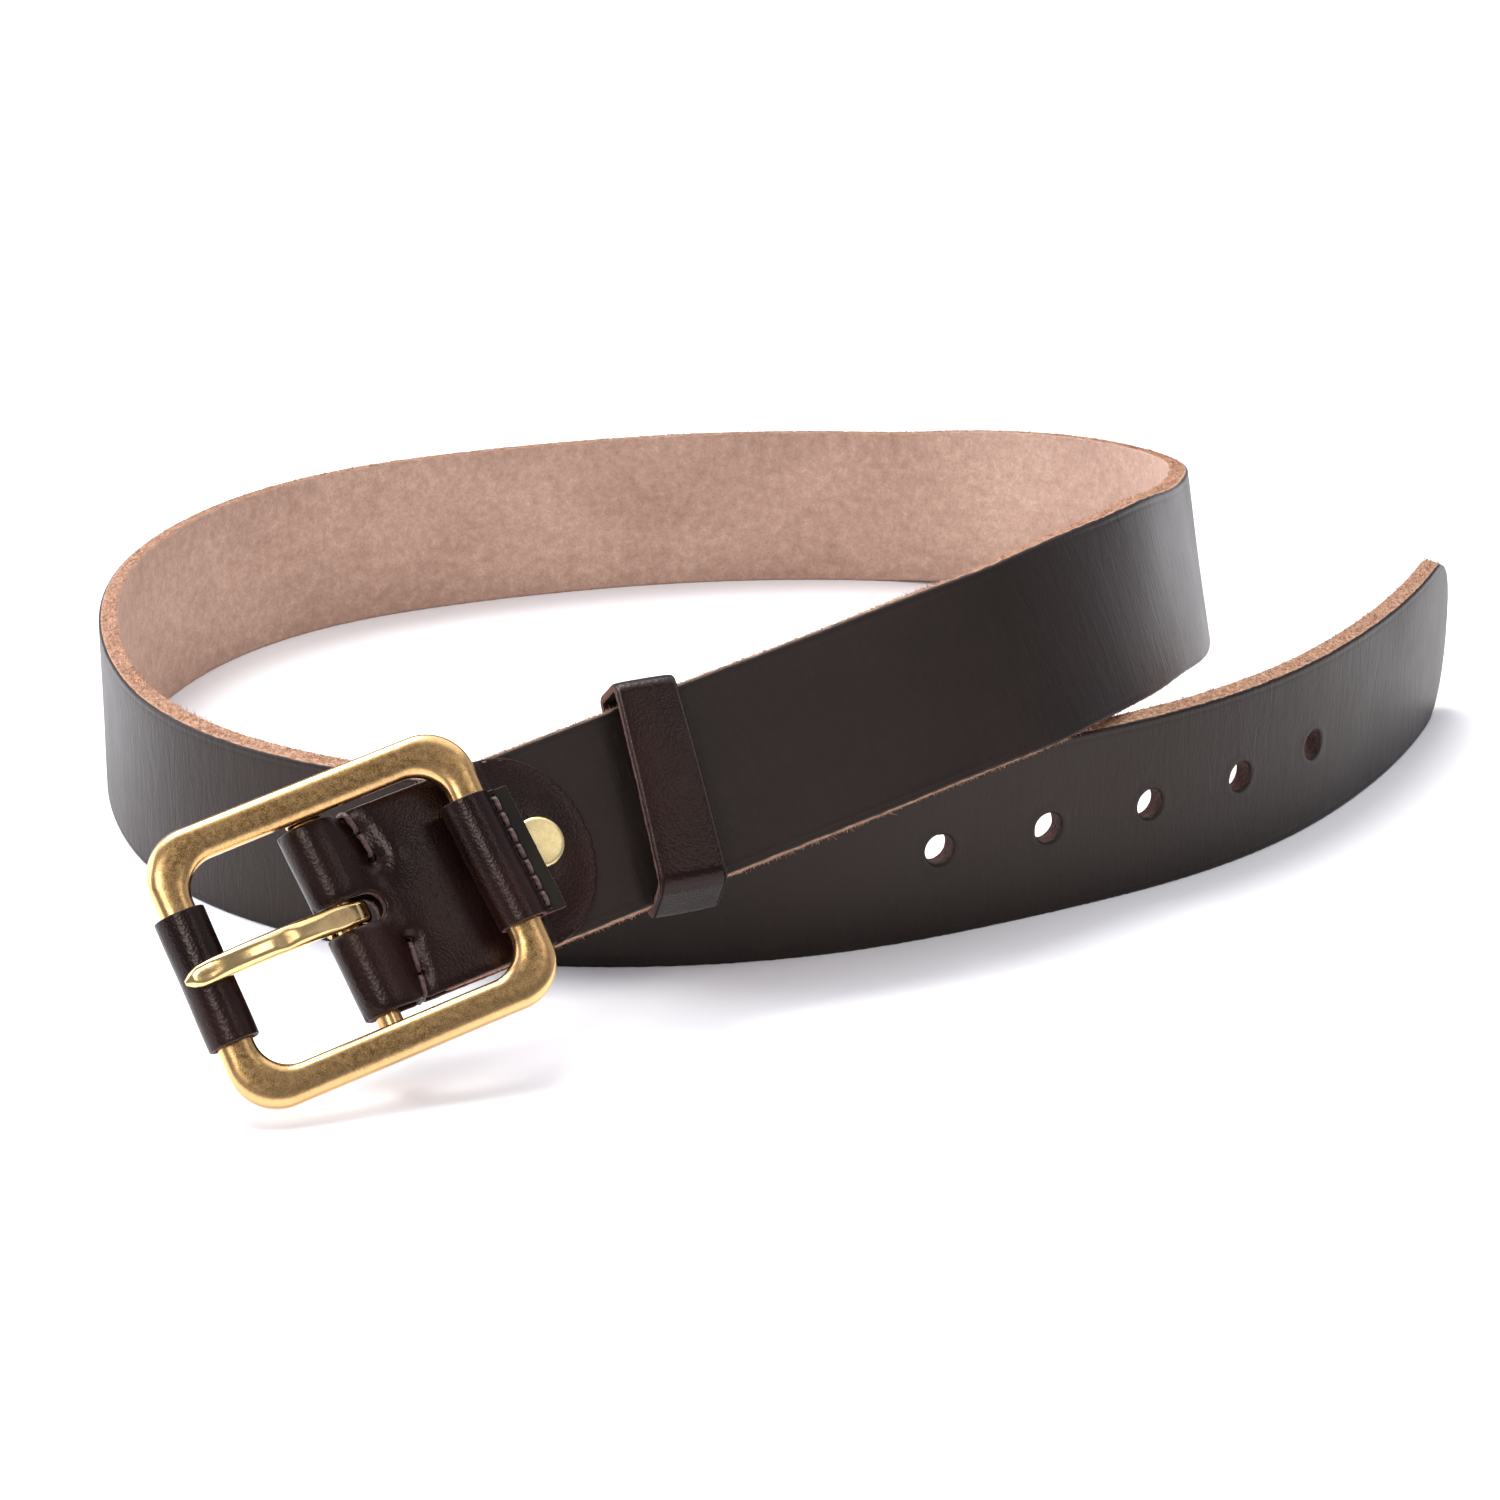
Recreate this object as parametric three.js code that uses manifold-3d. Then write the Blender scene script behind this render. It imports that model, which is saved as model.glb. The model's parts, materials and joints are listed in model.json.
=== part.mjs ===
// A men's leather belt standing on its edge in one loose loop, with a brass double-bar buckle.
// Millimetres, +Z up. +X runs to the tail's side and +Y away from the buckle's face.
// The belt stands on its lower edge at z = 0, with the origin under the middle of its box.
// The strap is drawn flat, as station, width and thickness, then bent along its route.
import * as THREE from 'three';
import { mergeVertices } from 'three/addons/utils/BufferGeometryUtils.js';
import Module from 'manifold-3d';

// ---- driving dimensions ----
const GAP = 0.3;
const STRAP_WIDTH = 38;
const STRAP_THICK = 4.2;
const STRAP_START = 13;
const STRAP_STEP = 8;
const TIP_STATION = 1107;
const TIP_DEPTH = 21;
const TIP_SHARES = [0.25, 0.45, 0.62, 0.76, 0.87, 0.94, 0.98];
const HOLE_FIRST = 914.2;
const HOLE_PITCH = 25.4;
const HOLE_COUNT = 5;
const HOLE_RADIUS = 3.2;
const TAIL_HINGE = HOLE_FIRST + 2.5 * HOLE_PITCH;

// The route, measured from the buckle's centre bar: each stretch's length and its left turn.
const FIRST_HEADING = 28;
const STRETCHES = [
  { length: 92, turn: 0 }, // straight behind the buckle
  { length: 50, turn: 8 },
  { length: 50, turn: 33 }, // right bend
  { length: 50, turn: 9 },
  { length: 50, turn: 10 },
  { length: 50, turn: 30 },
  { length: 40, turn: 26 },
  { length: 40, turn: 32 }, // far right
  { length: 60, turn: 17 }, // back
  { length: 60, turn: 13 },
  { length: 60, turn: 36 },
  { length: 60, turn: 30 }, // far left
  { length: 60, turn: 21 },
  { length: 50, turn: 32 }, // left bend
  { length: 40, turn: 21 },
  { length: 50, turn: 20 }, // front, behind the buckle
  { length: 50, turn: 20 },
  { length: 50, turn: 6 }, // under the raised front strap
  { length: 60, turn: 22 },
  { length: 85, turn: 20 }, // tail
];
// Height of the lower edge and lean of the face (minus: top leaning back) by station.
const RISE = [
  [0, 13], [92, 30.5], [132, 37], [172, 40], [212, 35], [262, 23], [322, 12], [412, 0], [1107, 0],
];
const LEAN = [
  [0, -36], [92, -36], [132, -34], [172, -28], [212, -17], [262, -13], [322, -3], [412, 0], [1107, 0],
];
const SOFTEN = 24;

// Buckle, in its own axes: X along the belt, Y across it, Z out of its face, from the centre bar.
const BAR_LIFT = 1.5;
const BUCKLE_TILT = 5;
const BUCKLE_DROP = 1;
const LOOP_OUTER = { halfX: 32.8, halfY: 27.9, corner: 9.5 };
const LOOP_INNER = { halfX: 25.9, halfY: 20.8, corner: 6.5 };
const LOOP_SHIFT = 0.2;
const LOOP_LIFT = 5.6;
const LOOP_THICK = 5.2;
const LOOP_SQUARENESS = 0.75;
const END_BAR_X = (LOOP_OUTER.halfX + LOOP_INNER.halfX) / 2;
const BAR_RADIUS = 2.4;
const BAR_HALF = 24;
const LUG = { radius: 3.6, from: 20.9, to: 25.2, web: 4.6 };
const SLEEVE_WALL = 1.15;
const SLEEVE_BORE = 3.75;
const FRONT_SLEEVE = { half: 13, flap: 7.2, lift: 0, stitchX: 5.9, holeHalf: 10.4, holePitch: 3.5 };
const REAR_SLEEVE = { half: 13, flap: 9.2, lift: -1.2, stitchX: 6, holeHalf: 11.6, holePitch: 3.4 };
const THREAD_RADIUS = 0.42;
const THREAD_LEG = 0.38;
const THREAD_HOLE = 0.8;

// Prong: an eye round the centre bar and a blade that rests on the front sleeve.
const PRONG_WIDTH = 4.8;
const PRONG_EYE = 4.8;
const PRONG_SIDE = 1.2;
const PRONG_TURN = 2;

// Chape: thin leather folded round the centre bar with the strap's end between its tabs.
const CHAPE_HALF = 19.2;
const CHAPE_THICK = 1.9;
const CHAPE_FOLD = 4.15;
const CHAPE_BLEND = 10;
const FOLD_STEPS = 12;
const BLEND_STEP = 1.5;
const TAB_STEP = 6;
const TAB_LENGTH = 50.5;
const TAB_DEPTH = 15.5;
const SLOT_HALF = 3.3;
const SLOT_END = 8;
const SLOT_SIDE = 0.2;
const CHAPE_STITCH_X = 9.2;
const UPPER_STITCHES = [9.2, 14.2, 18.7];
const LOWER_STITCHES = [-8, -14.4, -18.7];
const RIVET_X = 40;
const RIVET = { capRadius: 5, capThick: 0.8, shank: 1.3, baseRadius: 4.4, baseThick: 0.9 };

// Keeper: a loose leather loop with room for a second thickness of strap.
const KEEPER = { x: 67.6, turn: 11, width: 13.2, wall: 1.7, halfY: 21, back: -2.6, front: 7, corner: 1 };
const KEEPER_SEAM = { halfX: 4.5, pitch: 3, halfY: 2.2, leg: 1, floor: 0.4 };

const wasm = await Module();
wasm.setup();

function solidOf(geometry) {
  const bare = geometry.clone();
  bare.deleteAttribute('normal');
  bare.deleteAttribute('uv');
  const merged = mergeVertices(bare, 1e-4);
  const vertProperties = new Float32Array(merged.attributes.position.array);
  const triVerts = new Uint32Array(merged.index.array);
  return new wasm.Manifold(new wasm.Mesh({ numProp: 3, vertProperties, triVerts }));
}

function geometryOf(solid) {
  const mesh = solid.getMesh();
  const geometry = new THREE.BufferGeometry();
  geometry.setAttribute('position', new THREE.BufferAttribute(mesh.vertProperties, 3));
  geometry.setIndex(new THREE.BufferAttribute(mesh.triVerts, 1));
  return geometry;
}

function bend(geometry, place) {
  const position = geometry.attributes.position;
  for (let i = 0; i < position.count; i += 1) {
    const point = place(position.getX(i), position.getY(i), position.getZ(i));
    position.setXYZ(i, point.x, point.y, point.z);
  }
  return geometry;
}

// A flat strip along X with a row of vertices at each station.
function strip(stations, width, thick, widthSteps) {
  const steps = stations.length - 1;
  const geometry = new THREE.BoxGeometry(1, width, thick, steps, widthSteps, 1);
  return bend(geometry, (x, y, z) => new THREE.Vector3(stations[Math.round((x + 0.5) * steps)], y, z));
}

function evenStations(from, to, step) {
  const count = Math.ceil((to - from) / step);
  return Array.from({ length: count + 1 }, (_, i) => from + ((to - from) * i) / count);
}

// A plan outline cut through along Z, turned about Z.
function cutter(shape, half, turn = 0) {
  const options = { depth: 2 * half, bevelEnabled: false, curveSegments: 12 };
  return solidOf(new THREE.ExtrudeGeometry(shape, options).translate(0, 0, -half).rotateZ(turn));
}

// A side outline drawn in X and Z, as thick as width along Y, turned about Z.
function sideSolid(shape, width, curveSegments, turn = 0) {
  const geometry = new THREE.ExtrudeGeometry(shape, { depth: width, bevelEnabled: false, curveSegments });
  return solidOf(geometry.translate(0, 0, -width / 2).rotateX(Math.PI / 2).rotateZ(turn));
}

function pinAlongZ(radius, x, y, from, to, sides = 12) {
  const geometry = new THREE.CylinderGeometry(radius, radius, to - from, sides).rotateX(Math.PI / 2);
  return solidOf(geometry.translate(x, y, (from + to) / 2));
}

function pinAlongY(radius, x, z, from, to, sides = 24) {
  const geometry = new THREE.CylinderGeometry(radius, radius, to - from, sides);
  return solidOf(geometry.translate(x, (from + to) / 2, z));
}

function circle(x, y, radius) {
  return new THREE.Shape().absarc(x, y, radius, 0, 2 * Math.PI, false);
}

// ---- route of the strap ----
function alongTable(table, s) {
  const last = table.length - 1;
  const k = Math.min(last, Math.max(1, table.findIndex(([station]) => station >= s)));
  const [s0, v0] = table[k - 1];
  const [s1, v1] = table[k];
  return v0 + ((v1 - v0) * (s - s0)) / (s1 - s0);
}

const HEADING = [[0, FIRST_HEADING]];
for (const { length, turn } of STRETCHES) {
  const [station, heading] = HEADING[HEADING.length - 1];
  HEADING.push([station + length, heading + turn]);
}

// Average of a table over the softening window, so that corners become bends.
function soften(table, s) {
  const samples = 13;
  let sum = 0;
  for (let i = 0; i < samples; i += 1) {
    const at = s + SOFTEN * (i / (samples - 1) - 0.5);
    sum += alongTable(table, Math.min(TIP_STATION, Math.max(0, at)));
  }
  return sum / samples;
}

function rise(s) {
  const firstSlope = (RISE[1][1] - RISE[0][1]) / RISE[1][0];
  return s < SOFTEN ? RISE[0][1] + firstSlope * s : soften(RISE, s);
}

// Axes of the strap at each whole millimetre: along, across (up) and out of the grain face.
const route = [];
let plan = new THREE.Vector3();
for (let s = 0; s <= TIP_STATION; s += 1) {
  const heading = THREE.MathUtils.degToRad(soften(HEADING, s));
  const lean = THREE.MathUtils.degToRad(soften(LEAN, s));
  const climb = Math.asin(rise(s + 0.5) - rise(s - 0.5));
  const along = new THREE.Vector3(
    Math.cos(heading) * Math.cos(climb), Math.sin(heading) * Math.cos(climb), Math.sin(climb));
  const upright = new THREE.Vector3(
    -Math.cos(heading) * Math.sin(climb), -Math.sin(heading) * Math.sin(climb), Math.cos(climb));
  const side = along.clone().cross(upright);
  const across = upright.clone().multiplyScalar(Math.cos(lean)).addScaledVector(side, Math.sin(lean));
  const out = side.clone().multiplyScalar(Math.cos(lean)).addScaledVector(upright, -Math.sin(lean));
  const foot = new THREE.Vector3(plan.x, plan.y, rise(s));
  route.push({ along, across, out, foot });
  plan = plan.clone().addScaledVector(along, 1);
}

// Station, distance from the strap's middle line and height above its middle layer, to space.
function onRoute(s, w, t) {
  const k = Math.min(route.length - 2, Math.max(0, Math.floor(s)));
  const share = s - k;
  const point = new THREE.Vector3();
  for (const [stop, weight] of [[route[k], 1 - share], [route[k + 1], share]]) {
    point.addScaledVector(stop.foot, weight);
    point.addScaledVector(stop.across, weight * (w + STRAP_WIDTH / 2));
    point.addScaledVector(stop.out, weight * t);
  }
  return point;
}

// ---- leather strap ----
const holeStations = Array.from({ length: HOLE_COUNT }, (_, i) => HOLE_FIRST + i * HOLE_PITCH);

// Stands a round cutter or pin, drawn along Z at the origin, square to the strap at a station.
function squareTo(s, radius, half, sides) {
  const { along, across, out } = route[Math.round(s)];
  const geometry = new THREE.CylinderGeometry(radius, radius, 2 * half, sides).rotateX(Math.PI / 2);
  geometry.applyMatrix4(new THREE.Matrix4().makeBasis(along, across, out));
  const centre = onRoute(s, 0, 0);
  return solidOf(geometry.translate(centre.x, centre.y, centre.z));
}

function strapSolid() {
  const end = TAIL_HINGE - STRAP_THICK / 2 - GAP;
  const flat = strip(evenStations(STRAP_START, end, STRAP_STEP), STRAP_WIDTH, STRAP_THICK, 1);
  let solid = solidOf(bend(flat, onRoute));
  for (const s of holeStations.filter((station) => station < TAIL_HINGE)) {
    solid = solid.subtract(squareTo(s, HOLE_RADIUS, STRAP_THICK, 16));
  }
  return solid.subtract(squareTo(RIVET_X, RIVET.shank + GAP, STRAP_THICK, 12));
}

// The tail's near end is round about its own bending line, so that it can swing.
function tailSolid() {
  const tipStart = TIP_STATION - TIP_DEPTH;
  const tip = TIP_SHARES.map((share) => tipStart + share * TIP_DEPTH);
  const stations = [...evenStations(TAIL_HINGE, tipStart, STRAP_STEP), ...tip];
  const flat = strip(stations, STRAP_WIDTH, STRAP_THICK, 1);
  const solid = solidOf(bend(flat, (s, w, t) => {
    const share = Math.max(0, (s - tipStart) / TIP_DEPTH);
    return onRoute(s, w * Math.sqrt(1 - share ** 2), t);
  }));
  const line = onRoute(TAIL_HINGE, 0, 0);
  const bead = new THREE.CylinderGeometry(STRAP_THICK / 2, STRAP_THICK / 2, STRAP_WIDTH, 16);
  const rounded = solid.add(solidOf(bead.rotateX(Math.PI / 2).translate(line.x, line.y, line.z)));
  return holeStations
    .filter((station) => station > TAIL_HINGE)
    .reduce((rest, s) => rest.subtract(squareTo(s, HOLE_RADIUS, STRAP_THICK, 16)), rounded);
}

// ---- chape ----
// Side view of the folded leather's middle line: front tab, fold round the bar, back tab.
function chapeLevel(x, fold, flat) {
  if (x >= CHAPE_BLEND) return flat;
  return flat + (fold - flat) * 0.5 * (1 + Math.cos((Math.PI * x) / CHAPE_BLEND));
}

const chapeFlat = STRAP_THICK / 2 + GAP + CHAPE_THICK / 2;
const frontLevel = (x) => chapeLevel(x, BAR_LIFT + CHAPE_FOLD, chapeFlat);
const backLevel = (x) => chapeLevel(x, BAR_LIFT - CHAPE_FOLD, -chapeFlat);
const tabStations = evenStations(CHAPE_BLEND, TAB_LENGTH, TAB_STEP).slice(1);
const levelStations = [...evenStations(0, CHAPE_BLEND, BLEND_STEP), ...tabStations];
const chapeLine = [];
for (const x of levelStations) chapeLine.unshift(new THREE.Vector2(x, frontLevel(x)));
for (let i = 1; i < FOLD_STEPS; i += 1) {
  const angle = Math.PI / 2 + (Math.PI * i) / FOLD_STEPS;
  chapeLine.push(new THREE.Vector2(CHAPE_FOLD * Math.cos(angle), BAR_LIFT + CHAPE_FOLD * Math.sin(angle)));
}
for (const x of levelStations) chapeLine.push(new THREE.Vector2(x, backLevel(x)));
const chapeStations = chapeLine.map(() => 0);
for (let i = 1; i < chapeLine.length; i += 1) {
  chapeStations[i] = chapeStations[i - 1] + chapeLine[i].distanceTo(chapeLine[i - 1]);
}

function onChape(p, y, z) {
  let k = chapeStations.findIndex((station) => station >= p);
  k = Math.max(1, k < 0 ? chapeStations.length - 1 : k);
  const share = (p - chapeStations[k - 1]) / (chapeStations[k] - chapeStations[k - 1]);
  const at = (i) => {
    const before = chapeLine[Math.max(0, i - 1)];
    const after = chapeLine[Math.min(chapeLine.length - 1, i + 1)];
    const tangent = after.clone().sub(before).normalize();
    return new THREE.Vector2(chapeLine[i].x - tangent.y * z, chapeLine[i].y + tangent.x * z);
  };
  const point = at(k - 1).lerp(at(k), share);
  return new THREE.Vector3(point.x, y, point.y);
}

function chapeSolid() {
  const half = CHAPE_HALF;
  const outline = new THREE.Shape();
  outline.moveTo(-2 * CHAPE_FOLD, -half);
  outline.lineTo(TAB_LENGTH - TAB_DEPTH, -half);
  outline.absellipse(TAB_LENGTH - TAB_DEPTH, 0, TAB_DEPTH, half, -Math.PI / 2, Math.PI / 2, false);
  outline.lineTo(-2 * CHAPE_FOLD, half);
  const slot = new THREE.Shape();
  slot.moveTo(-2 * CHAPE_FOLD, SLOT_SIDE - SLOT_HALF);
  slot.lineTo(SLOT_END - SLOT_HALF, SLOT_SIDE - SLOT_HALF);
  slot.absarc(SLOT_END - SLOT_HALF, SLOT_SIDE, SLOT_HALF, -Math.PI / 2, Math.PI / 2, false);
  slot.lineTo(-2 * CHAPE_FOLD, SLOT_SIDE + SLOT_HALF);
  let solid = solidOf(bend(strip(chapeStations, 2 * CHAPE_HALF + 1, CHAPE_THICK, 1), onChape));
  solid = solid.intersect(cutter(outline, 2 * STRAP_THICK + CHAPE_FOLD));
  solid = solid.subtract(cutter(slot, 2 * STRAP_THICK + CHAPE_FOLD));
  for (const y of [...UPPER_STITCHES, ...LOWER_STITCHES]) {
    solid = solid.subtract(pinAlongZ(THREAD_HOLE, CHAPE_STITCH_X, y, -3 * STRAP_THICK, 3 * STRAP_THICK, 8));
  }
  return solid.subtract(pinAlongZ(RIVET.shank + GAP, RIVET_X, 0, -2 * STRAP_THICK, 2 * STRAP_THICK));
}

// One row of saddle stitches: a leg through each hole and a run along both faces.
function stitchRow(x, holes, below, above) {
  const from = Math.min(...holes);
  const to = Math.max(...holes);
  let solid = pinAlongY(THREAD_RADIUS, x, above, from - THREAD_RADIUS, to + THREAD_RADIUS, 8);
  solid = solid.add(pinAlongY(THREAD_RADIUS, x, below, from - THREAD_RADIUS, to + THREAD_RADIUS, 8));
  for (const y of holes) solid = solid.add(pinAlongZ(THREAD_LEG, x, y, below, above, 8));
  return solid;
}

const threadRest = CHAPE_THICK / 2 + GAP + THREAD_RADIUS;
const chapeRow = (holes) => stitchRow(
  CHAPE_STITCH_X, holes, backLevel(CHAPE_STITCH_X) - threadRest, frontLevel(CHAPE_STITCH_X) + threadRest);

function rivetCap() {
  const face = chapeFlat + CHAPE_THICK / 2 + GAP / 2;
  const foot = -chapeFlat - CHAPE_THICK / 2;
  const cap = pinAlongZ(RIVET.capRadius, RIVET_X, 0, face, face + RIVET.capThick, 32);
  return cap.add(pinAlongZ(RIVET.shank, RIVET_X, 0, foot, face + RIVET.capThick / 2));
}

function rivetBase() {
  const face = -chapeFlat - CHAPE_THICK / 2 - GAP;
  return pinAlongZ(RIVET.baseRadius, RIVET_X, 0, face - RIVET.baseThick, face, 32);
}

// ---- buckle ----
// A rounded rectangle's point by share of the way round, from the middle of its +X side. Each
// straight and each corner takes the same share whatever the size, so two outlines stay paired.
const CORNER_START = 0.35;
const CORNER_END = 0.65;

function outlinePoint({ halfX, halfY, corner }, share) {
  const quarter = Math.min(3, Math.floor(share * 4));
  const part = share * 4 - quarter;
  const turned = quarter % 2 ? { x: halfY, y: halfX } : { x: halfX, y: halfY };
  const [flatX, flatY] = [turned.x - corner, turned.y - corner];
  const along = Math.min(1, part / CORNER_START);
  const round = Math.min(1, Math.max(0, (part - CORNER_START) / (CORNER_END - CORNER_START)));
  const last = Math.max(0, (part - CORNER_END) / (1 - CORNER_END));
  const angle = (round * Math.PI) / 2;
  const x = flatX * (1 - last) + corner * Math.cos(angle);
  const y = flatY * along + corner * Math.sin(angle);
  const heading = (quarter * Math.PI) / 2;
  return new THREE.Vector2(x, y).rotateAround(new THREE.Vector2(), heading);
}

function loopSolid() {
  const around = 14;
  const stations = 80;
  const geometry = new THREE.TorusGeometry(1, 0.4, around, stations);
  const uv = geometry.attributes.uv;
  const position = geometry.attributes.position;
  const square = (v) => Math.sign(v) * Math.abs(v) ** LOOP_SQUARENESS;
  for (let i = 0; i < position.count; i += 1) {
    const inner = outlinePoint(LOOP_INNER, uv.getX(i) % 1);
    const outer = outlinePoint(LOOP_OUTER, uv.getX(i) % 1);
    const angle = 2 * Math.PI * (uv.getY(i) % 1);
    const point = inner.lerp(outer, 0.5 + 0.5 * square(Math.cos(angle)));
    const height = (LOOP_THICK / 2) * square(Math.sin(angle));
    position.setXYZ(i, LOOP_SHIFT + point.x, point.y, LOOP_LIFT + height);
  }
  let solid = solidOf(geometry);
  for (const side of [-1, 1]) {
    const [from, to] = [side * LUG.from, side * LUG.to].sort((a, b) => a - b);
    const web = new THREE.BoxGeometry(2 * LUG.radius, to - from, LUG.web);
    solid = solid.add(pinAlongY(LUG.radius, 0, 0, from, to));
    solid = solid.add(solidOf(web.translate(0, (from + to) / 2, LUG.web / 2)));
  }
  return solid.subtract(pinAlongY(BAR_RADIUS + GAP, 0, 0, -BAR_HALF - GAP, BAR_HALF + GAP));
}

// A leather sleeve rolled round an end bar, its two ends laid together as a flap along +X.
function sleeveSolid({ half, flap, lift }) {
  const outer = SLEEVE_BORE + SLEEVE_WALL;
  const low = lift - SLEEVE_WALL - GAP / 2;
  const high = lift + SLEEVE_WALL + GAP / 2;
  const lowAngle = Math.asin(low / outer);
  const highAngle = Math.asin(high / outer);
  const outline = new THREE.Shape();
  outline.absarc(0, 0, outer, highAngle, 2 * Math.PI + lowAngle, false);
  outline.lineTo(flap, low);
  outline.lineTo(flap, lift - GAP / 2);
  const slitLow = Math.asin((lift - GAP / 2) / SLEEVE_BORE);
  const slitHigh = Math.asin((lift + GAP / 2) / SLEEVE_BORE);
  outline.absarc(0, 0, SLEEVE_BORE, 2 * Math.PI + slitLow, slitHigh, true);
  outline.lineTo(flap, lift + GAP / 2);
  outline.lineTo(flap, high);
  return sideSolid(outline, 2 * half, 16);
}

const flapRest = SLEEVE_WALL + GAP / 2 + GAP + THREAD_RADIUS;
const sleeveHoles = ({ holeHalf, holePitch }) => evenStations(-holeHalf, holeHalf, holePitch);

function drilledSleeve(sleeve) {
  const reach = 2 * SLEEVE_WALL + GAP;
  let solid = sleeveSolid(sleeve);
  for (const y of sleeveHoles(sleeve)) {
    const hole = pinAlongZ(THREAD_HOLE, sleeve.stitchX, y, sleeve.lift - reach, sleeve.lift + reach, 8);
    solid = solid.subtract(hole);
  }
  return solid;
}

function flapRow(sleeve) {
  return stitchRow(sleeve.stitchX, sleeveHoles(sleeve), sleeve.lift - flapRest, sleeve.lift + flapRest);
}

// Prong, seen from the side: an eye round the bar, then a blade that arches to the front sleeve.
// The blade is set a little askew on its eye, so that its point comes to the sleeve's middle.
const PRONG_TOP = [[1.6, 5.4], [-6, 8.2], [-16, 11.3], [-25, 13.1], [-31, 13.1], [-34, 11.4]];
const PRONG_UNDER = [[-31.5, 10.9], [-26.5, 10.7], [-16, 8.6], [-7, 5.4], [-3, 3.2]];
const PRONG_HEEL = { x: 3.36, z: 3.31 };
const PRONG_TIP = { x: -34, foot: 10.4, bluntX: -33, bluntY: 1.6 };
const PRONG_SHOULDER = -30;

function prongSolid() {
  const blade = new THREE.Shape();
  blade.moveTo(PRONG_HEEL.x, PRONG_HEEL.z);
  blade.splineThru(PRONG_TOP.map(([x, z]) => new THREE.Vector2(x, z)));
  blade.lineTo(PRONG_TIP.x, PRONG_TIP.foot);
  blade.splineThru(PRONG_UNDER.map(([x, z]) => new THREE.Vector2(x, z)));
  const half = PRONG_WIDTH / 2;
  const outline = new THREE.Shape();
  outline.moveTo(2 * PRONG_EYE, -half);
  outline.lineTo(2 * PRONG_EYE, half);
  outline.lineTo(PRONG_SHOULDER, half - GAP);
  outline.quadraticCurveTo(PRONG_TIP.bluntX, PRONG_TIP.bluntY, PRONG_TIP.x, 0);
  outline.quadraticCurveTo(PRONG_TIP.bluntX, -PRONG_TIP.bluntY, PRONG_SHOULDER, GAP - half);
  const turn = THREE.MathUtils.degToRad(PRONG_TURN);
  let solid = sideSolid(blade, PRONG_WIDTH, 8, turn).intersect(cutter(outline, 4 * PRONG_EYE, turn));
  solid = solid.add(sideSolid(circle(0, 0, PRONG_EYE), PRONG_WIDTH, 24));
  return solid.subtract(pinAlongY(BAR_RADIUS + GAP, 0, 0, -PRONG_WIDTH, PRONG_WIDTH));
}

// ---- keeper ----
function roundedBox(halfX, low, high, corner) {
  const shape = new THREE.Shape();
  shape.absarc(halfX - corner, high - corner, corner, 0, Math.PI / 2, false);
  shape.absarc(corner - halfX, high - corner, corner, Math.PI / 2, Math.PI, false);
  shape.absarc(corner - halfX, low + corner, corner, Math.PI, 1.5 * Math.PI, false);
  shape.absarc(halfX - corner, low + corner, corner, 1.5 * Math.PI, 2 * Math.PI, false);
  return shape;
}

const seamStations = evenStations(-KEEPER_SEAM.halfX, KEEPER_SEAM.halfX, KEEPER_SEAM.pitch);
const keeperStitches = seamStations.map((x, i) => {
  return { x, y: i % 2 ? KEEPER_SEAM.halfY : -KEEPER_SEAM.halfY };
});

// The loop's section is drawn in Y and Z and runs along X, with its butted seam at the back.
function keeperSolid() {
  const { width, wall, halfY, back, front, corner } = KEEPER;
  const shape = roundedBox(halfY + wall, back - wall, front + wall, corner + wall);
  shape.holes.push(roundedBox(halfY, back, front, corner));
  const geometry = new THREE.ExtrudeGeometry(shape, { depth: width, bevelEnabled: false, curveSegments: 5 });
  geometry.translate(0, 0, -width / 2).rotateX(Math.PI / 2).rotateZ(Math.PI / 2);
  const seam = new THREE.BoxGeometry(2 * width, GAP, 4 * wall).translate(0, 0, back - wall);
  let solid = solidOf(geometry).subtract(solidOf(seam));
  for (const { x, y } of keeperStitches) {
    solid = solid.subtract(pinAlongZ(THREAD_HOLE, x, y, back - 2 * wall, back - KEEPER_SEAM.floor, 8));
  }
  return solid;
}

// Zigzag thread over the seam, with a leg into each hole.
function keeperThread() {
  const level = KEEPER.back - KEEPER.wall - GAP - THREAD_RADIUS;
  let solid;
  keeperStitches.forEach(({ x, y }, i) => {
    const leg = pinAlongZ(THREAD_RADIUS, x, y, level, KEEPER.back - KEEPER_SEAM.leg, 8);
    solid = solid ? solid.add(leg) : leg;
    if (i === 0) return;
    const before = keeperStitches[i - 1];
    const length = Math.hypot(x - before.x, y - before.y) + THREAD_RADIUS;
    const run = new THREE.CylinderGeometry(THREAD_RADIUS, THREAD_RADIUS, length, 8);
    run.rotateZ(Math.atan2(y - before.y, x - before.x) - Math.PI / 2);
    solid = solid.add(solidOf(run.translate((x + before.x) / 2, (y + before.y) / 2, level)));
  });
  return solid;
}

// ---- materials ----
function finish(color, roughness, metalness) {
  return new THREE.MeshStandardMaterial({ color, roughness, metalness });
}

const LEATHER = () => finish(0x2d201e, 0.5, 0);
const SLEEVE_LEATHER = () => finish(0x33201c, 0.4, 0);
const THREAD = () => finish(0x4a3230, 0.7, 0);
const BRASS = () => finish(0xb08e52, 0.35, 1);
const PALE_BRASS = () => finish(0xdecd8c, 0.3, 1);

const belt = new THREE.Group();

function add(parent, name, geometry, material) {
  const mesh = new THREE.Mesh(geometry, material);
  mesh.name = name;
  parent.add(mesh);
  return mesh;
}

// ---- assembly ----
add(belt, 'strap', geometryOf(strapSolid()), LEATHER());
add(belt, 'strap_tail', geometryOf(tailSolid()), LEATHER());

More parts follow.
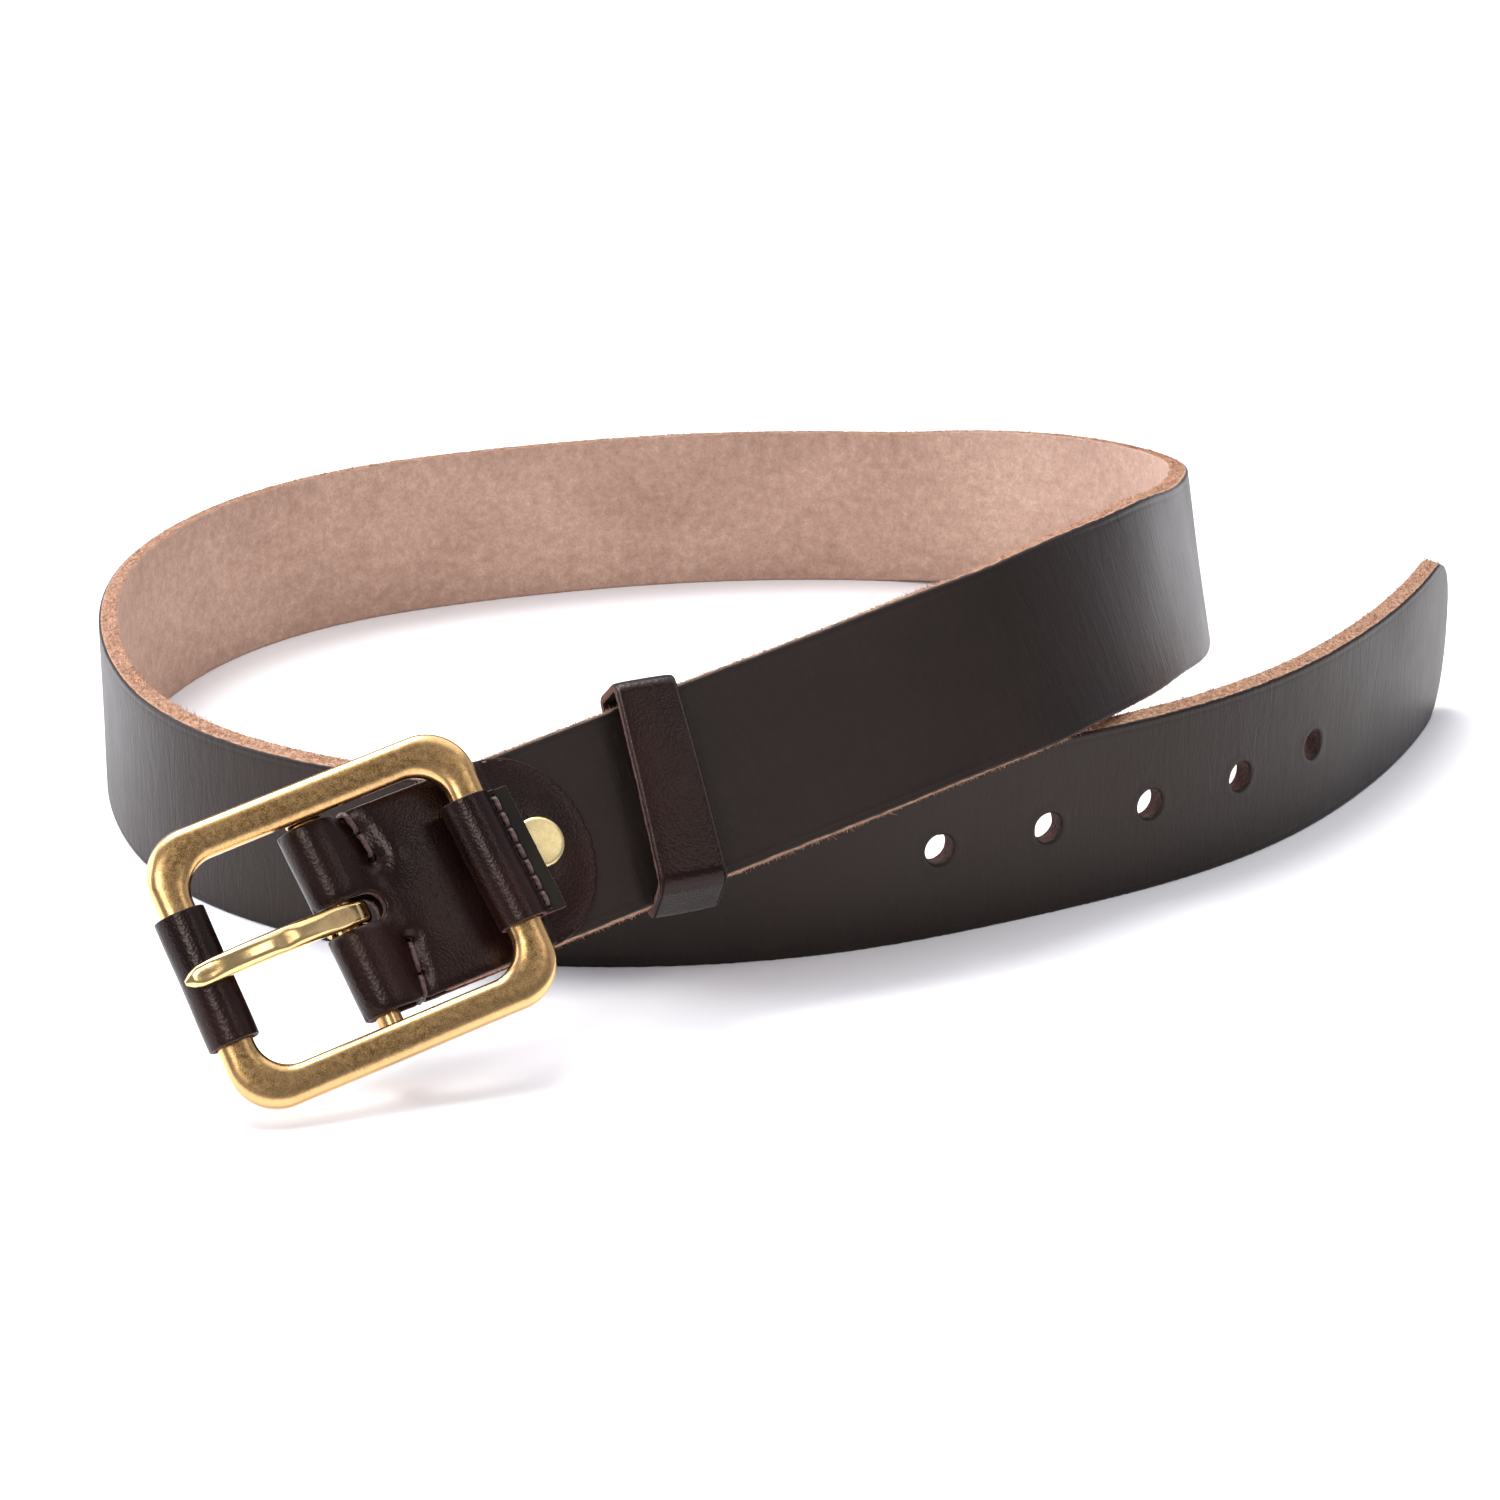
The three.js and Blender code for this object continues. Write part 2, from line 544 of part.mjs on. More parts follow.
// Everything round the buckle end sits on the straight first stretch.
const seat = new THREE.Group();
const first = route[0];
seat.quaternion.setFromRotationMatrix(new THREE.Matrix4().makeBasis(first.along, first.across, first.out));
seat.position.copy(first.foot).addScaledVector(first.across, STRAP_WIDTH / 2);
belt.add(seat);
add(seat, 'chape', geometryOf(chapeSolid()), SLEEVE_LEATHER());
add(seat, 'chape_stitch_upper', geometryOf(chapeRow(UPPER_STITCHES)), THREAD());
add(seat, 'chape_stitch_lower', geometryOf(chapeRow(LOWER_STITCHES)), THREAD());
add(seat, 'rivet_cap', geometryOf(rivetCap()), PALE_BRASS());
add(seat, 'rivet_base', geometryOf(rivetBase()), PALE_BRASS());

const keeper = new THREE.Group();
keeper.position.set(KEEPER.x, 0, 0);
keeper.rotation.z = -THREE.MathUtils.degToRad(KEEPER.turn);
seat.add(keeper);
add(keeper, 'keeper_loop', geometryOf(keeperSolid()), SLEEVE_LEATHER());
add(keeper, 'keeper_seam_thread', geometryOf(keeperThread()), THREAD());

const buckle = new THREE.Group();
buckle.position.set(0, -BUCKLE_DROP, BAR_LIFT);
buckle.rotation.y = -THREE.MathUtils.degToRad(BUCKLE_TILT);
seat.add(buckle);
add(buckle, 'buckle_frame', geometryOf(loopSolid()), BRASS());
add(buckle, 'centre_bar', geometryOf(pinAlongY(BAR_RADIUS, 0, 0, -BAR_HALF, BAR_HALF)), BRASS());
add(buckle, 'prong', geometryOf(prongSolid()), BRASS()).position.y = PRONG_SIDE;

const rearEnd = new THREE.Group();
rearEnd.position.set(LOOP_SHIFT + END_BAR_X, 0, LOOP_LIFT);
buckle.add(rearEnd);
add(rearEnd, 'rear_bar_sleeve', geometryOf(drilledSleeve(REAR_SLEEVE)), SLEEVE_LEATHER());
add(rearEnd, 'rear_sleeve_thread', geometryOf(flapRow(REAR_SLEEVE)), THREAD());

// The front sleeve is the same roll with its flap turned to the back.
const frontEnd = new THREE.Group();
frontEnd.position.set(LOOP_SHIFT - END_BAR_X, 0, LOOP_LIFT);
frontEnd.rotation.y = Math.PI / 2;
buckle.add(frontEnd);
add(frontEnd, 'front_bar_sleeve', geometryOf(drilledSleeve(FRONT_SLEEVE)), SLEEVE_LEATHER());
add(frontEnd, 'front_sleeve_thread', geometryOf(flapRow(FRONT_SLEEVE)), THREAD());

// Set the belt down with its origin under the middle of its box.
belt.updateMatrixWorld(true);
const box = new THREE.Box3().setFromObject(belt, true);
const middle = box.getCenter(new THREE.Vector3());
belt.position.set(-middle.x, -middle.y, -box.min.z);

export default belt;
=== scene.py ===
import json
import math
import bpy
import bmesh
import numpy as np
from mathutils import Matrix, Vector


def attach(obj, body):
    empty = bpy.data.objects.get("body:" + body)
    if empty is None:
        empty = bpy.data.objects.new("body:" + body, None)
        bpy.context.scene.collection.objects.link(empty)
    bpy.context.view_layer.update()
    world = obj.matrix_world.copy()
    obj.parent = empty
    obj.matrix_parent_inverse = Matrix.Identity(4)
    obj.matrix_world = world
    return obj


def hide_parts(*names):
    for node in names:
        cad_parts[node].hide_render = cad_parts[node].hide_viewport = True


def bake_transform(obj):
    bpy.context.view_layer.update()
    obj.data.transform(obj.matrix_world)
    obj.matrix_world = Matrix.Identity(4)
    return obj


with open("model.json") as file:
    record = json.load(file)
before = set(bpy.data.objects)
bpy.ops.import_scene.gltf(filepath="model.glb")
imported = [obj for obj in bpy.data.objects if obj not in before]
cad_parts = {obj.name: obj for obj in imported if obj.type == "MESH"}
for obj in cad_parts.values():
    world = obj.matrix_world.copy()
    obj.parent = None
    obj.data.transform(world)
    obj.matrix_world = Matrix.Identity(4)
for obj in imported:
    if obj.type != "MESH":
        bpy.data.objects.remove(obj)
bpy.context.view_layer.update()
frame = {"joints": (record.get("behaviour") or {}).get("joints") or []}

MM = 0.001
rng = np.random.default_rng(7)

# ------------------------------------------------------------------ where things are
joints = {j["name"]: j for j in frame["joints"]}
BAR = np.array(joints["prong_swing"]["pos_m"]) / MM
ALONG = np.array(joints["keeper_slide"]["axis"])
ACROSS = np.array(joints["prong_swing"]["axis"])
OUT = np.cross(ALONG, ACROSS)
BAR_LIFT = 1.5
BUCKLE_DROP = 1.0
SEAT = BAR - OUT * BAR_LIFT + ACROSS * BUCKLE_DROP
TILT = math.radians(5)
BX = ALONG * math.cos(TILT) + OUT * math.sin(TILT)
BZ = OUT * math.cos(TILT) - ALONG * math.sin(TILT)

W = 38.0
T = 4.2
TIP = 1107.0
TIP_DEPTH = 21.0
HOLE_PITCH = 25.4
FIRST_HOLE = 914.2
HOLES = [FIRST_HOLE + HOLE_PITCH * i for i in range(5)]
HINGE = FIRST_HOLE + 2.5 * HOLE_PITCH
STRAP_START = 13.0

# The strap's centre line: (length, turn in degrees) stretches, then height and lean along it.
STRETCHES = [(92, 0), (50, 8), (50, 33), (50, 9), (50, 10), (50, 30), (40, 26),
             (40, 32), (60, 17), (60, 13), (60, 36), (60, 30), (60, 21), (50, 32),
             (40, 21), (50, 20), (50, 20), (50, 6), (60, 22), (85, 20)]
START_HEADING = 28.0
HEADING = [(0, START_HEADING)]
for length, turn in STRETCHES:
    HEADING.append((HEADING[-1][0] + length, HEADING[-1][1] + turn))
RISE = [(0, 13), (92, 30.5), (132, 37), (172, 40), (212, 35), (262, 23), (322, 12), (412, 0), (1107, 0)]
LEAN = [(0, -36), (92, -36), (132, -34), (172, -28), (212, -17), (262, -13), (322, -3), (412, 0), (1107, 0)]
SOFTEN = 24.0
SOFTEN_TAPS = 13


def soften(table, s):
    s = np.asarray(s, float)
    xs, ys = zip(*table)
    total = 0
    for i in range(SOFTEN_TAPS):
        total = total + np.interp(np.clip(s + SOFTEN * (i / (SOFTEN_TAPS - 1) - 0.5), 0, TIP), xs, ys)
    return total / SOFTEN_TAPS


def rise(s):
    slope = (RISE[1][1] - RISE[0][1]) / RISE[1][0]
    return np.where(s < SOFTEN, RISE[0][1] + slope * s, soften(RISE, s))


def make_route():
    s = np.arange(0, TIP + 0.5, 1.0)
    yaw = np.radians(soften(HEADING, s))
    lean = np.radians(soften(LEAN, s))
    climb = np.arcsin(rise(s + 0.5) - rise(s - 0.5))
    along = np.stack([np.cos(yaw) * np.cos(climb), np.sin(yaw) * np.cos(climb), np.sin(climb)], -1)
    up = np.stack([-np.cos(yaw) * np.sin(climb), -np.sin(yaw) * np.sin(climb), np.cos(climb)], -1)
    side = np.cross(along, up)
    cb, sb = np.cos(lean)[:, None], np.sin(lean)[:, None]
    across = up * cb + side * sb
    out = side * cb - up * sb
    foot = np.zeros((len(s), 3))
    foot[1:, :2] = np.cumsum(along[:-1, :2], 0)
    foot[:, 2] = rise(s)
    shift = SEAT - ACROSS * W / 2 - foot[0]
    foot += shift
    return along, across, out, foot


R_ALONG, R_ACROSS, R_OUT, R_FOOT = make_route()


def on_route(s, w, t):
    s, w, t = np.broadcast_arrays(np.asarray(s, float), w, t)
    k = np.clip(np.floor(s).astype(int), 0, len(R_FOOT) - 2)
    f = (s - k)[..., None]
    mix = lambda a: a[k] * (1 - f) + a[k + 1] * f
    return mix(R_FOOT) + mix(R_ACROSS) * (w + W / 2)[..., None] + mix(R_OUT) * t[..., None]


def on_seat(x, y, z):
    x, y, z = np.broadcast_arrays(np.asarray(x, float), y, z)
    return SEAT + x[..., None] * ALONG + y[..., None] * ACROSS + z[..., None] * OUT


def on_buckle(x, y, z):
    x, y, z = np.broadcast_arrays(np.asarray(x, float), y, z)
    return BAR + x[..., None] * BX + y[..., None] * ACROSS + z[..., None] * BZ


# ------------------------------------------------------------------ small maths
TABLE = rng.random((64, 64, 64)).astype(np.float32)


def noise3(p):
    """Smooth value noise in 0..1 at points given in lattice units."""
    p = np.asarray(p, float)
    i = np.floor(p).astype(int)
    f = p - i
    f = f * f * (3 - 2 * f)
    out = 0
    for dx in (0, 1):
        for dy in (0, 1):
            for dz in (0, 1):
                wgt = (f[..., 0] if dx else 1 - f[..., 0]) * (f[..., 1] if dy else 1 - f[..., 1]) * \
                      (f[..., 2] if dz else 1 - f[..., 2])
                out = out + wgt * TABLE[(i[..., 0] + dx) % 64, (i[..., 1] + dy) % 64, (i[..., 2] + dz) % 64]
    return out


def bell(x, wide):
    """1 where x is 0, falling away smoothly over wide."""
    return np.exp(-(x / wide) ** 2)


def ease(x):
    x = np.clip(x, 0, 1)
    return x * x * (3 - 2 * x)


def spaced(knots):
    """Stations through (position, step) knots: the step holds up to the next knot."""
    out = [knots[0][0]]
    for (a, step), (b, _) in zip(knots, knots[1:]):
        n = max(1, int(round((b - a) / step)))
        out += [a + (b - a) * (i + 1) / n for i in range(n)]
    return np.array(out)


# ------------------------------------------------------------------ mesh builders
def new_object(name, verts, faces, mats, mat_index=None, uv=None, floats=None, fix=True):
    mesh = bpy.data.meshes.new(name)
    mesh.from_pydata((np.asarray(verts) * MM).tolist(), [], [tuple(int(i) for i in f) for f in faces])
    for m in mats:
        mesh.materials.append(m)
    if mat_index is not None:
        mesh.polygons.foreach_set("material_index", np.asarray(mat_index, np.int32))
    if uv is not None:
        layer = mesh.uv_layers.new(name="UVMap")
        loops = np.empty(len(mesh.loops), np.int32)
        mesh.loops.foreach_get("vertex_index", loops)
        layer.data.foreach_set("uv", np.asarray(uv, np.float32)[loops].ravel())
    for key, values in (floats or {}).items():
        attr = mesh.attributes.new(key, "FLOAT", "POINT")
        attr.data.foreach_set("value", np.asarray(values, np.float32))
    if fix:
        bm = bmesh.new()
        bm.from_mesh(mesh)
        bmesh.ops.recalc_face_normals(bm, faces=bm.faces)
        bm.to_mesh(mesh)
        bm.free()
    mesh.polygons.foreach_set("use_smooth", [True] * len(mesh.polygons))
    mesh.update()
    obj = bpy.data.objects.new(name, mesh)
    bpy.context.scene.collection.objects.link(obj)
    return obj


def sheet(name, ps, ws, dist, place, thick, bevel, mats, rim, crisp, wobble, open_ends=(), lift=None):
    """A sheet of leather: a fine grid, trimmed to dist(p, w) < 0, with a front, a back and a rolled rim."""
    P, Q = np.meshgrid(ps, ws, indexing="ij")
    ns, nw = P.shape
    step = np.minimum(np.gradient(ps)[:, None] * np.ones_like(Q),
                      np.abs(np.gradient(ws))[None, :] * np.ones_like(P))
    p, w = P.ravel().copy(), Q.ravel().copy()
    h = step.ravel()
    e = 0.02

    def grad(p, w):
        gp = (dist(p + e, w) - dist(p - e, w)) / (2 * e)
        gw = (dist(p, w + e) - dist(p, w - e)) / (2 * e)
        n = np.hypot(gp, gw) + 1e-9
        return gp / n, gw / n, n

    for _ in range(3):
        d = dist(p, w) + bevel
        near = np.abs(d) < 0.62 * h
        gp, gw, n = grad(p, w)
        p = np.where(near, p - d * gp / n, p)
        w = np.where(near, w - d * gw / n, w)
    ok = (dist(p, w) + bevel) < 0.05 * h
    idx = np.arange(ns * nw).reshape(ns, nw)
    corners = np.stack([idx[:-1, :-1], idx[1:, :-1], idx[1:, 1:], idx[:-1, 1:]], -1).reshape(-1, 4)
    good = ok[corners]
    count = good.sum(1)
    faces = [tuple(c) for c in corners[count == 4]]
    faces += [tuple(c[g]) for c, g in zip(corners[count == 3], good[count == 3])]
    used = np.unique(np.concatenate([np.asarray(f) for f in faces]))
    remap = -np.ones(ns * nw, int)
    remap[used] = np.arange(len(used))
    faces = [tuple(int(remap[i]) for i in f) for f in faces]
    p, w = p[used], w[used]
    edges = {}
    for f in faces:
        for a, b in zip(f, f[1:] + f[:1]):
            edges[(a, b)] = edges.get((a, b), 0) + 1
    border = [(a, b) for (a, b) in edges if (b, a) not in edges]
    if len(open_ends):
        on_open = lambda i: any(abs(p[i] - q) < 1e-6 for q in open_ends)
        border = [(a, b) for a, b in border if not (on_open(a) and on_open(b))]
    m = len(p)
    half = thick / 2
    allp, allw, allt = [p, p], [w, w], [np.full(m, half), np.full(m, -half)]
    verts_face = [list(f) for f in faces] + [[i + m for i in reversed(f)] for f in faces]
    index = [0] * len(faces) + [1] * len(faces)
    rim_ids = sorted({i for ab in border for i in ab})
    where = {v: k for k, v in enumerate(rim_ids)}
    rim_ids = np.array(rim_ids)
    gp, gw, _ = grad(p[rim_ids], w[rim_ids])
    angles = np.linspace(0, math.pi / 2, 5)[1:]
    top = [(bevel * math.sin(a), half - crisp * (1 - math.cos(a))) for a in angles]
    low = [(o, -t) for o, t in reversed(top)]
    mids = [(bevel, t) for t in np.linspace(half - crisp, -half + crisp, rim + 1)[1:-1]]
    rings = top + mids + low
    base = 2 * m
    for k, (o, t) in enumerate(rings):
        q = np.stack([p[rim_ids] * 0.9, w[rim_ids] * 0.9, np.full(len(rim_ids), t * 1.6 + 20)], -1)
        fade = 1 - abs(2 * k / (len(rings) - 1) - 1) ** 3
        jig = wobble * (noise3(q) + 0.6 * noise3(q * 2.7 + 9) - 0.8) * fade
        allp.append(p[rim_ids] + gp * (o + jig))
        allw.append(w[rim_ids] + gw * (o + jig))
        allt.append(np.full(len(rim_ids), t))
    nr = len(rim_ids)
    level = lambda k, v: v if k < 0 else (base + k * nr + where[v] if k < len(rings) else v + m)
    for a, b in border:
        for k in range(-1, len(rings)):
            verts_face.append([level(k, b), level(k, a), level(k + 1, a), level(k + 1, b)])
            index.append(0 if k < len(top) - 1 else (1 if k >= len(rings) - 2 else 2))
    p, w, t = np.concatenate(allp), np.concatenate(allw), np.concatenate(allt)
    uv = np.stack([p, w], -1) * MM
    depth = t / thick
    if lift is not None:
        t = t + lift(p, w, t)
    return new_object(name, place(p, w, t), verts_face, mats, index, uv, {"depth": depth})


def solid_join(name, parts, mats, place):
    """Several closed shells as one piece. Each part is (verts, faces) in local millimetres."""
    verts, faces, base = [], [], 0
    for v, f in parts:
        verts.append(np.asarray(v, float))
        faces += [tuple(i + base for i in g) for g in f]
        base += len(v)
    v = np.concatenate(verts)
    return new_object(name, place(v[:, 0], v[:, 1], v[:, 2]), faces, mats)


def lathe(profile, steps):
    """Closed shell turned about +Z from (radius, height) points that start and end on the axis."""
    inner = profile[1:-1]
    ang = np.linspace(0, 2 * math.pi, steps, endpoint=False)
    verts = [(0, 0, profile[0][1])]
    for r, z in inner:
        verts += [(r * math.cos(a), r * math.sin(a), z) for a in ang]
    verts.append((0, 0, profile[-1][1]))
    faces = [(0, 1 + j, 1 + (j + 1) % steps) for j in range(steps)]
    for k in range(len(inner) - 1):
        a, b = 1 + k * steps, 1 + (k + 1) * steps
        faces += [(a + j, b + j, b + (j + 1) % steps, a + (j + 1) % steps) for j in range(steps)]
    a = 1 + (len(inner) - 1) * steps
    end = len(verts) - 1
    faces += [(a + (j + 1) % steps, a + j, end) for j in range(steps)]
    return np.array(verts, float), faces


# ------------------------------------------------------------------ materials
def srgb(r, g, b):
    lin = lambda c: (c / 255 / 12.92) if c <= 10 else ((c / 255 + 0.055) / 1.055) ** 2.4
    return (lin(r), lin(g), lin(b), 1)


class Mat:
    def __init__(self, name):
        self.mat = bpy.data.materials.new(name)
        self.mat.use_nodes = True
        self.tree = self.mat.node_tree
        self.tree.nodes.clear()
        self.out = self.node("ShaderNodeOutputMaterial")
        self.bsdf = self.node("ShaderNodeBsdfPrincipled")
        self.link(self.bsdf.outputs[0], self.out.inputs[0])

    def node(self, kind, **props):
        n = self.tree.nodes.new(kind)
        for k, v in props.items():
            setattr(n, k, v)
        return n

    def link(self, a, b):
        self.tree.links.new(a, b)

    def uv(self, scale):
        u = self.node("ShaderNodeUVMap", uv_map="UVMap")
        m = self.node("ShaderNodeMapping")
        m.inputs["Scale"].default_value = scale
        self.link(u.outputs[0], m.inputs[0])
        return m.outputs[0]

    def obj(self, scale):
        u = self.node("ShaderNodeTexCoord")
        m = self.node("ShaderNodeMapping")
        m.inputs["Scale"].default_value = scale
        self.link(u.outputs["Object"], m.inputs[0])
        return m.outputs[0]

    def noise(self, vec, scale, detail=4, rough=0.55, distort=0.0):
        n = self.node("ShaderNodeTexNoise")
        n.inputs["Scale"].default_value = scale
        n.inputs["Detail"].default_value = detail
        n.inputs["Roughness"].default_value = rough
        n.inputs["Distortion"].default_value = distort
        self.link(vec, n.inputs["Vector"])
        return n.outputs["Fac"]

    def voronoi(self, vec, scale):
        n = self.node("ShaderNodeTexVoronoi", feature="F1")
        n.inputs["Scale"].default_value = scale
        self.link(vec, n.inputs["Vector"])
        return n.outputs["Distance"]

    def ramp(self, fac, stops):
        r = self.node("ShaderNodeValToRGB")
        els = r.color_ramp.elements
        while len(els) < len(stops):
            els.new(0.5)
        for el, (pos, col) in zip(els, stops):
            el.position = pos
            el.color = col
        self.link(fac, r.inputs[0])
        return r.outputs[0]

    def fit(self, fac, a, b, c, d):
        r = self.node("ShaderNodeMapRange")
        for i, v in enumerate((a, b, c, d)):
            r.inputs[i + 1].default_value = v
        self.link(fac, r.inputs[0])
        return r.outputs[0]

    def math(self, op, a, b):
        n = self.node("ShaderNodeMath", operation=op)
        for i, v in enumerate((a, b)):
            if isinstance(v, (int, float)):
                n.inputs[i].default_value = v
            else:
                self.link(v, n.inputs[i])
        return n.outputs[0]

    def mix(self, fac, a, b):
        n = self.node("ShaderNodeMix", data_type="RGBA", blend_type="MIX")
        for sock, v in ((n.inputs[0], fac), (n.inputs[6], a), (n.inputs[7], b)):
            if isinstance(v, (int, float, tuple)):
                sock.default_value = v
            else:
                self.link(v, sock)
        return n.outputs[2]

    def attr(self, name):
        n = self.node("ShaderNodeAttribute", attribute_name=name, attribute_type="GEOMETRY")
        return n.outputs["Fac"]

    def bump(self, height, strength, distance, normal=None):
        b = self.node("ShaderNodeBump")
        b.inputs["Strength"].default_value = strength
        b.inputs["Distance"].default_value = distance
        self.link(height, b.inputs["Height"])
        if normal is not None:
            self.link(normal, b.inputs["Normal"])
        return b.outputs[0]

    def set(self, **values):
        for key, v in values.items():
            sock = self.bsdf.inputs[key.replace("_", " ")]
            if isinstance(v, (int, float, tuple)):
                sock.default_value = v
            else:
                self.link(v, sock)


WARM_TINT = (0.92, 0.76, 0.7, 1)


def grain_leather(name, dark, light, rough, pebble, wrinkle, specular):
    """Dyed grain leather. UV is millimetres/1000 along and across the piece."""
    m = Mat(name)
    cloud = m.noise(m.uv((30, 30, 1)), 1.0, 5, 0.6)
    streak = m.noise(m.uv((600, 160, 1)), 1.0, 4, 0.65, 0.8)
    blotch = m.noise(m.uv((9, 40, 1)), 1.0, 3, 0.5)
    both = m.math("ADD", m.math("MULTIPLY", cloud, 0.6), m.math("MULTIPLY", blotch, 0.4))
    col = m.ramp(both, [(0.3, dark), (0.72, light)])
    col = m.mix(m.fit(streak, 0.35, 0.75, 0.0, 0.25), col, tuple(c * 0.45 for c in dark[:3]) + (1,))
    wr = m.noise(m.uv((1700, 330, 1)), 1.0, 3, 0.6, 1.2)
    fine = m.noise(m.uv((4200, 2600, 1)), 1.0, 2, 0.5)
    crease = m.noise(m.uv((330, 60, 1)), 1.0, 3, 0.6, 1.6)
    cells = m.voronoi(m.uv((2000, 1700, 1)), 1.0)
    n = m.bump(crease, wrinkle, 0.0006)
    n = m.bump(wr, wrinkle, 0.00022, n)
    n = m.bump(cells, pebble, 0.0001, n)
    n = m.bump(fine, 0.25, 0.00006, n)
    r = m.fit(m.math("ADD", m.math("MULTIPLY", cloud, 0.8), m.math("MULTIPLY", fine, 0.2)), 0.3, 0.7,
              rough - 0.05, rough + 0.07)
    m.set(Base_Color=col, Roughness=r, Normal=n, Specular_IOR_Level=specular, Specular_Tint=WARM_TINT)
    return m.mat


def flesh_leather(name):
    m = Mat(name)
    big = m.noise(m.uv((22, 30, 1)), 1.0, 5, 0.6, 0.4)
    mid = m.noise(m.uv((330, 330, 1)), 1.0, 5, 0.75)
    fib = m.noise(m.uv((1500, 1500, 1)), 1.0, 4, 0.75, 0.8)
    col = m.ramp(m.math("ADD", m.math("MULTIPLY", big, 0.42), m.math("MULTIPLY", mid, 0.58)),
                 [(0.36, srgb(160, 131, 115)), (0.52, srgb(186, 156, 139)), (0.66, srgb(206, 177, 158))])
    col = m.mix(m.fit(fib, 0.4, 0.72, 0.0, 0.5), col, srgb(132, 100, 82))
    n = m.bump(fib, 0.6, 0.0003)
    n = m.bump(mid, 0.3, 0.0006, n)
    m.set(Base_Color=col, Roughness=0.95, Normal=n, Specular_IOR_Level=0.15, Sheen_Weight=0.35,
          Sheen_Roughness=0.5, Sheen_Tint=srgb(226, 200, 186))
    return m.mat


def cut_edge(name, tan, brown, share):
    """Raw cut edge: fibrous, with the dye soaked in from the grain side. depth runs -0.5 to 0.5."""
    m = Mat(name)
    depth = m.attr("depth")
    fib = m.noise(m.obj((950, 950, 950)), 1.0, 4, 0.75, 0.7)
    mid = m.noise(m.obj((260, 260, 260)), 1.0, 4, 0.6)
    soak = m.math("ADD", depth, m.math("MULTIPLY", mid, 0.5))
    col = m.ramp(fib, [(0.3, brown), (0.6, tan)])
    col = m.mix(m.fit(soak, share, share + 0.16, 0.0, 1.0), col, srgb(34, 21, 18))
    n = m.bump(fib, 0.9, 0.0006)
    m.set(Base_Color=col, Roughness=0.9, Normal=n, Specular_IOR_Level=0.2, Sheen_Weight=0.1)
    return m.mat


def brass(name, base, deep, rough, mottled, edge_polish):
    m = Mat(name)
    fine = m.noise(m.obj((4600, 4600, 4600)), 1.0, 4, 0.75)
    mid = m.noise(m.obj((900, 900, 900)), 1.0, 4, 0.6)
    spots = m.math("ADD", m.math("MULTIPLY", fine, 0.7), m.math("MULTIPLY", mid, 0.3))
    dirt = m.fit(spots, 0.4, 0.66, 0.0, mottled)
    if edge_polish:
        flat = m.math("SUBTRACT", 1.0, m.attr("polish"))
        dirt = m.math("MULTIPLY", dirt, flat)
        extra = m.math("MULTIPLY", flat, 0.35)
        dirt = m.math("ADD", dirt, extra)
        r = m.fit(m.attr("polish"), 0.0, 1.0, rough + 0.1, rough - 0.08)
    else:
        r = m.fit(spots, 0.35, 0.65, rough - 0.05, rough + 0.08)
    col = m.mix(dirt, base, deep)
    n = m.bump(fine, 0.12, 0.00004)
    n = m.bump(mid, 0.12, 0.00012, n)
    m.set(Base_Color=col, Metallic=1.0, Roughness=r, Normal=n)
    return m.mat


def thread_material(name):
    m = Mat(name)
    tw = m.noise(m.obj((1800, 1800, 1800)), 1.0, 3, 0.6)
    m.set(Base_Color=m.ramp(tw, [(0.3, srgb(52, 30, 28)), (0.7, srgb(96, 66, 62))]), Roughness=0.55,
          Normal=m.bump(tw, 0.5, 0.0001), Sheen_Weight=0.2)
    return m.mat


def fibre_material(name):
    m = Mat(name)
    v = m.noise(m.obj((300, 300, 300)), 1.0, 2, 0.5)
    m.set(Base_Color=m.ramp(v, [(0.3, srgb(150, 104, 80)), (0.7, srgb(204, 162, 134))]), Roughness=0.9,
          Specular_IOR_Level=0.2)
    return m.mat


STRAP_GRAIN = grain_leather("strap_grain", srgb(15, 11, 10), srgb(31, 23, 19), 0.4, 0.25, 0.24, 0.34)
TRIM_GRAIN = grain_leather("trim_grain", srgb(5, 2, 2), srgb(33, 11, 8), 0.28, 0.44, 0.06, 0.29)
HOLE_EDGE = cut_edge("hole_cut_edge", srgb(70, 42, 32), srgb(34, 20, 16), 0.55)
FLESH = flesh_leather("flesh_side")
TRIM_BACK = grain_leather("trim_back", srgb(22, 21, 18), srgb(38, 35, 29), 0.7, 0.3, 0.3, 0.15)
STRAP_EDGE = cut_edge("strap_cut_edge", srgb(188, 148, 120), srgb(112, 74, 54), 0.66)
TRIM_EDGE = cut_edge("trim_cut_edge", srgb(104, 62, 50), srgb(60, 34, 28), 0.5)
TRIM_MATS = [TRIM_GRAIN, TRIM_BACK, TRIM_EDGE]
BRASS = brass("antique_brass", srgb(232, 190, 132), srgb(106, 78, 42), 0.25, 0.95, True)
PRONG_BRASS = brass("prong_brass", srgb(238, 206, 146), srgb(136, 104, 58), 0.2, 0.6, True)
PALE_BRASS = brass("rivet_brass", srgb(232, 212, 160), srgb(190, 164, 104), 0.36, 0.6, False)
THREAD = thread_material("waxed_thread")
FIBRE = fibre_material("leather_fibre")

# ------------------------------------------------------------------ strap
R_HOLE = 3.2
EDGE = 0.55
SLANT = 0.85
LOW_SLANT = 0.12
# From this length on, the strap stands on the floor.
ON_FLOOR = 400
STRAP_WAVE = 0.22
WORN_R, WORN_RISE = 4.1, 0.10
CREASE_W, CREASE_DEPTH = 17.6, 0.07
# Rim faces within this reach of a hole's centre take the darker hole-wall material.
HOLE_WALL_R = R_HOLE + 2.6
FINE_BAND = 6.5
FINE_STEP = 0.42


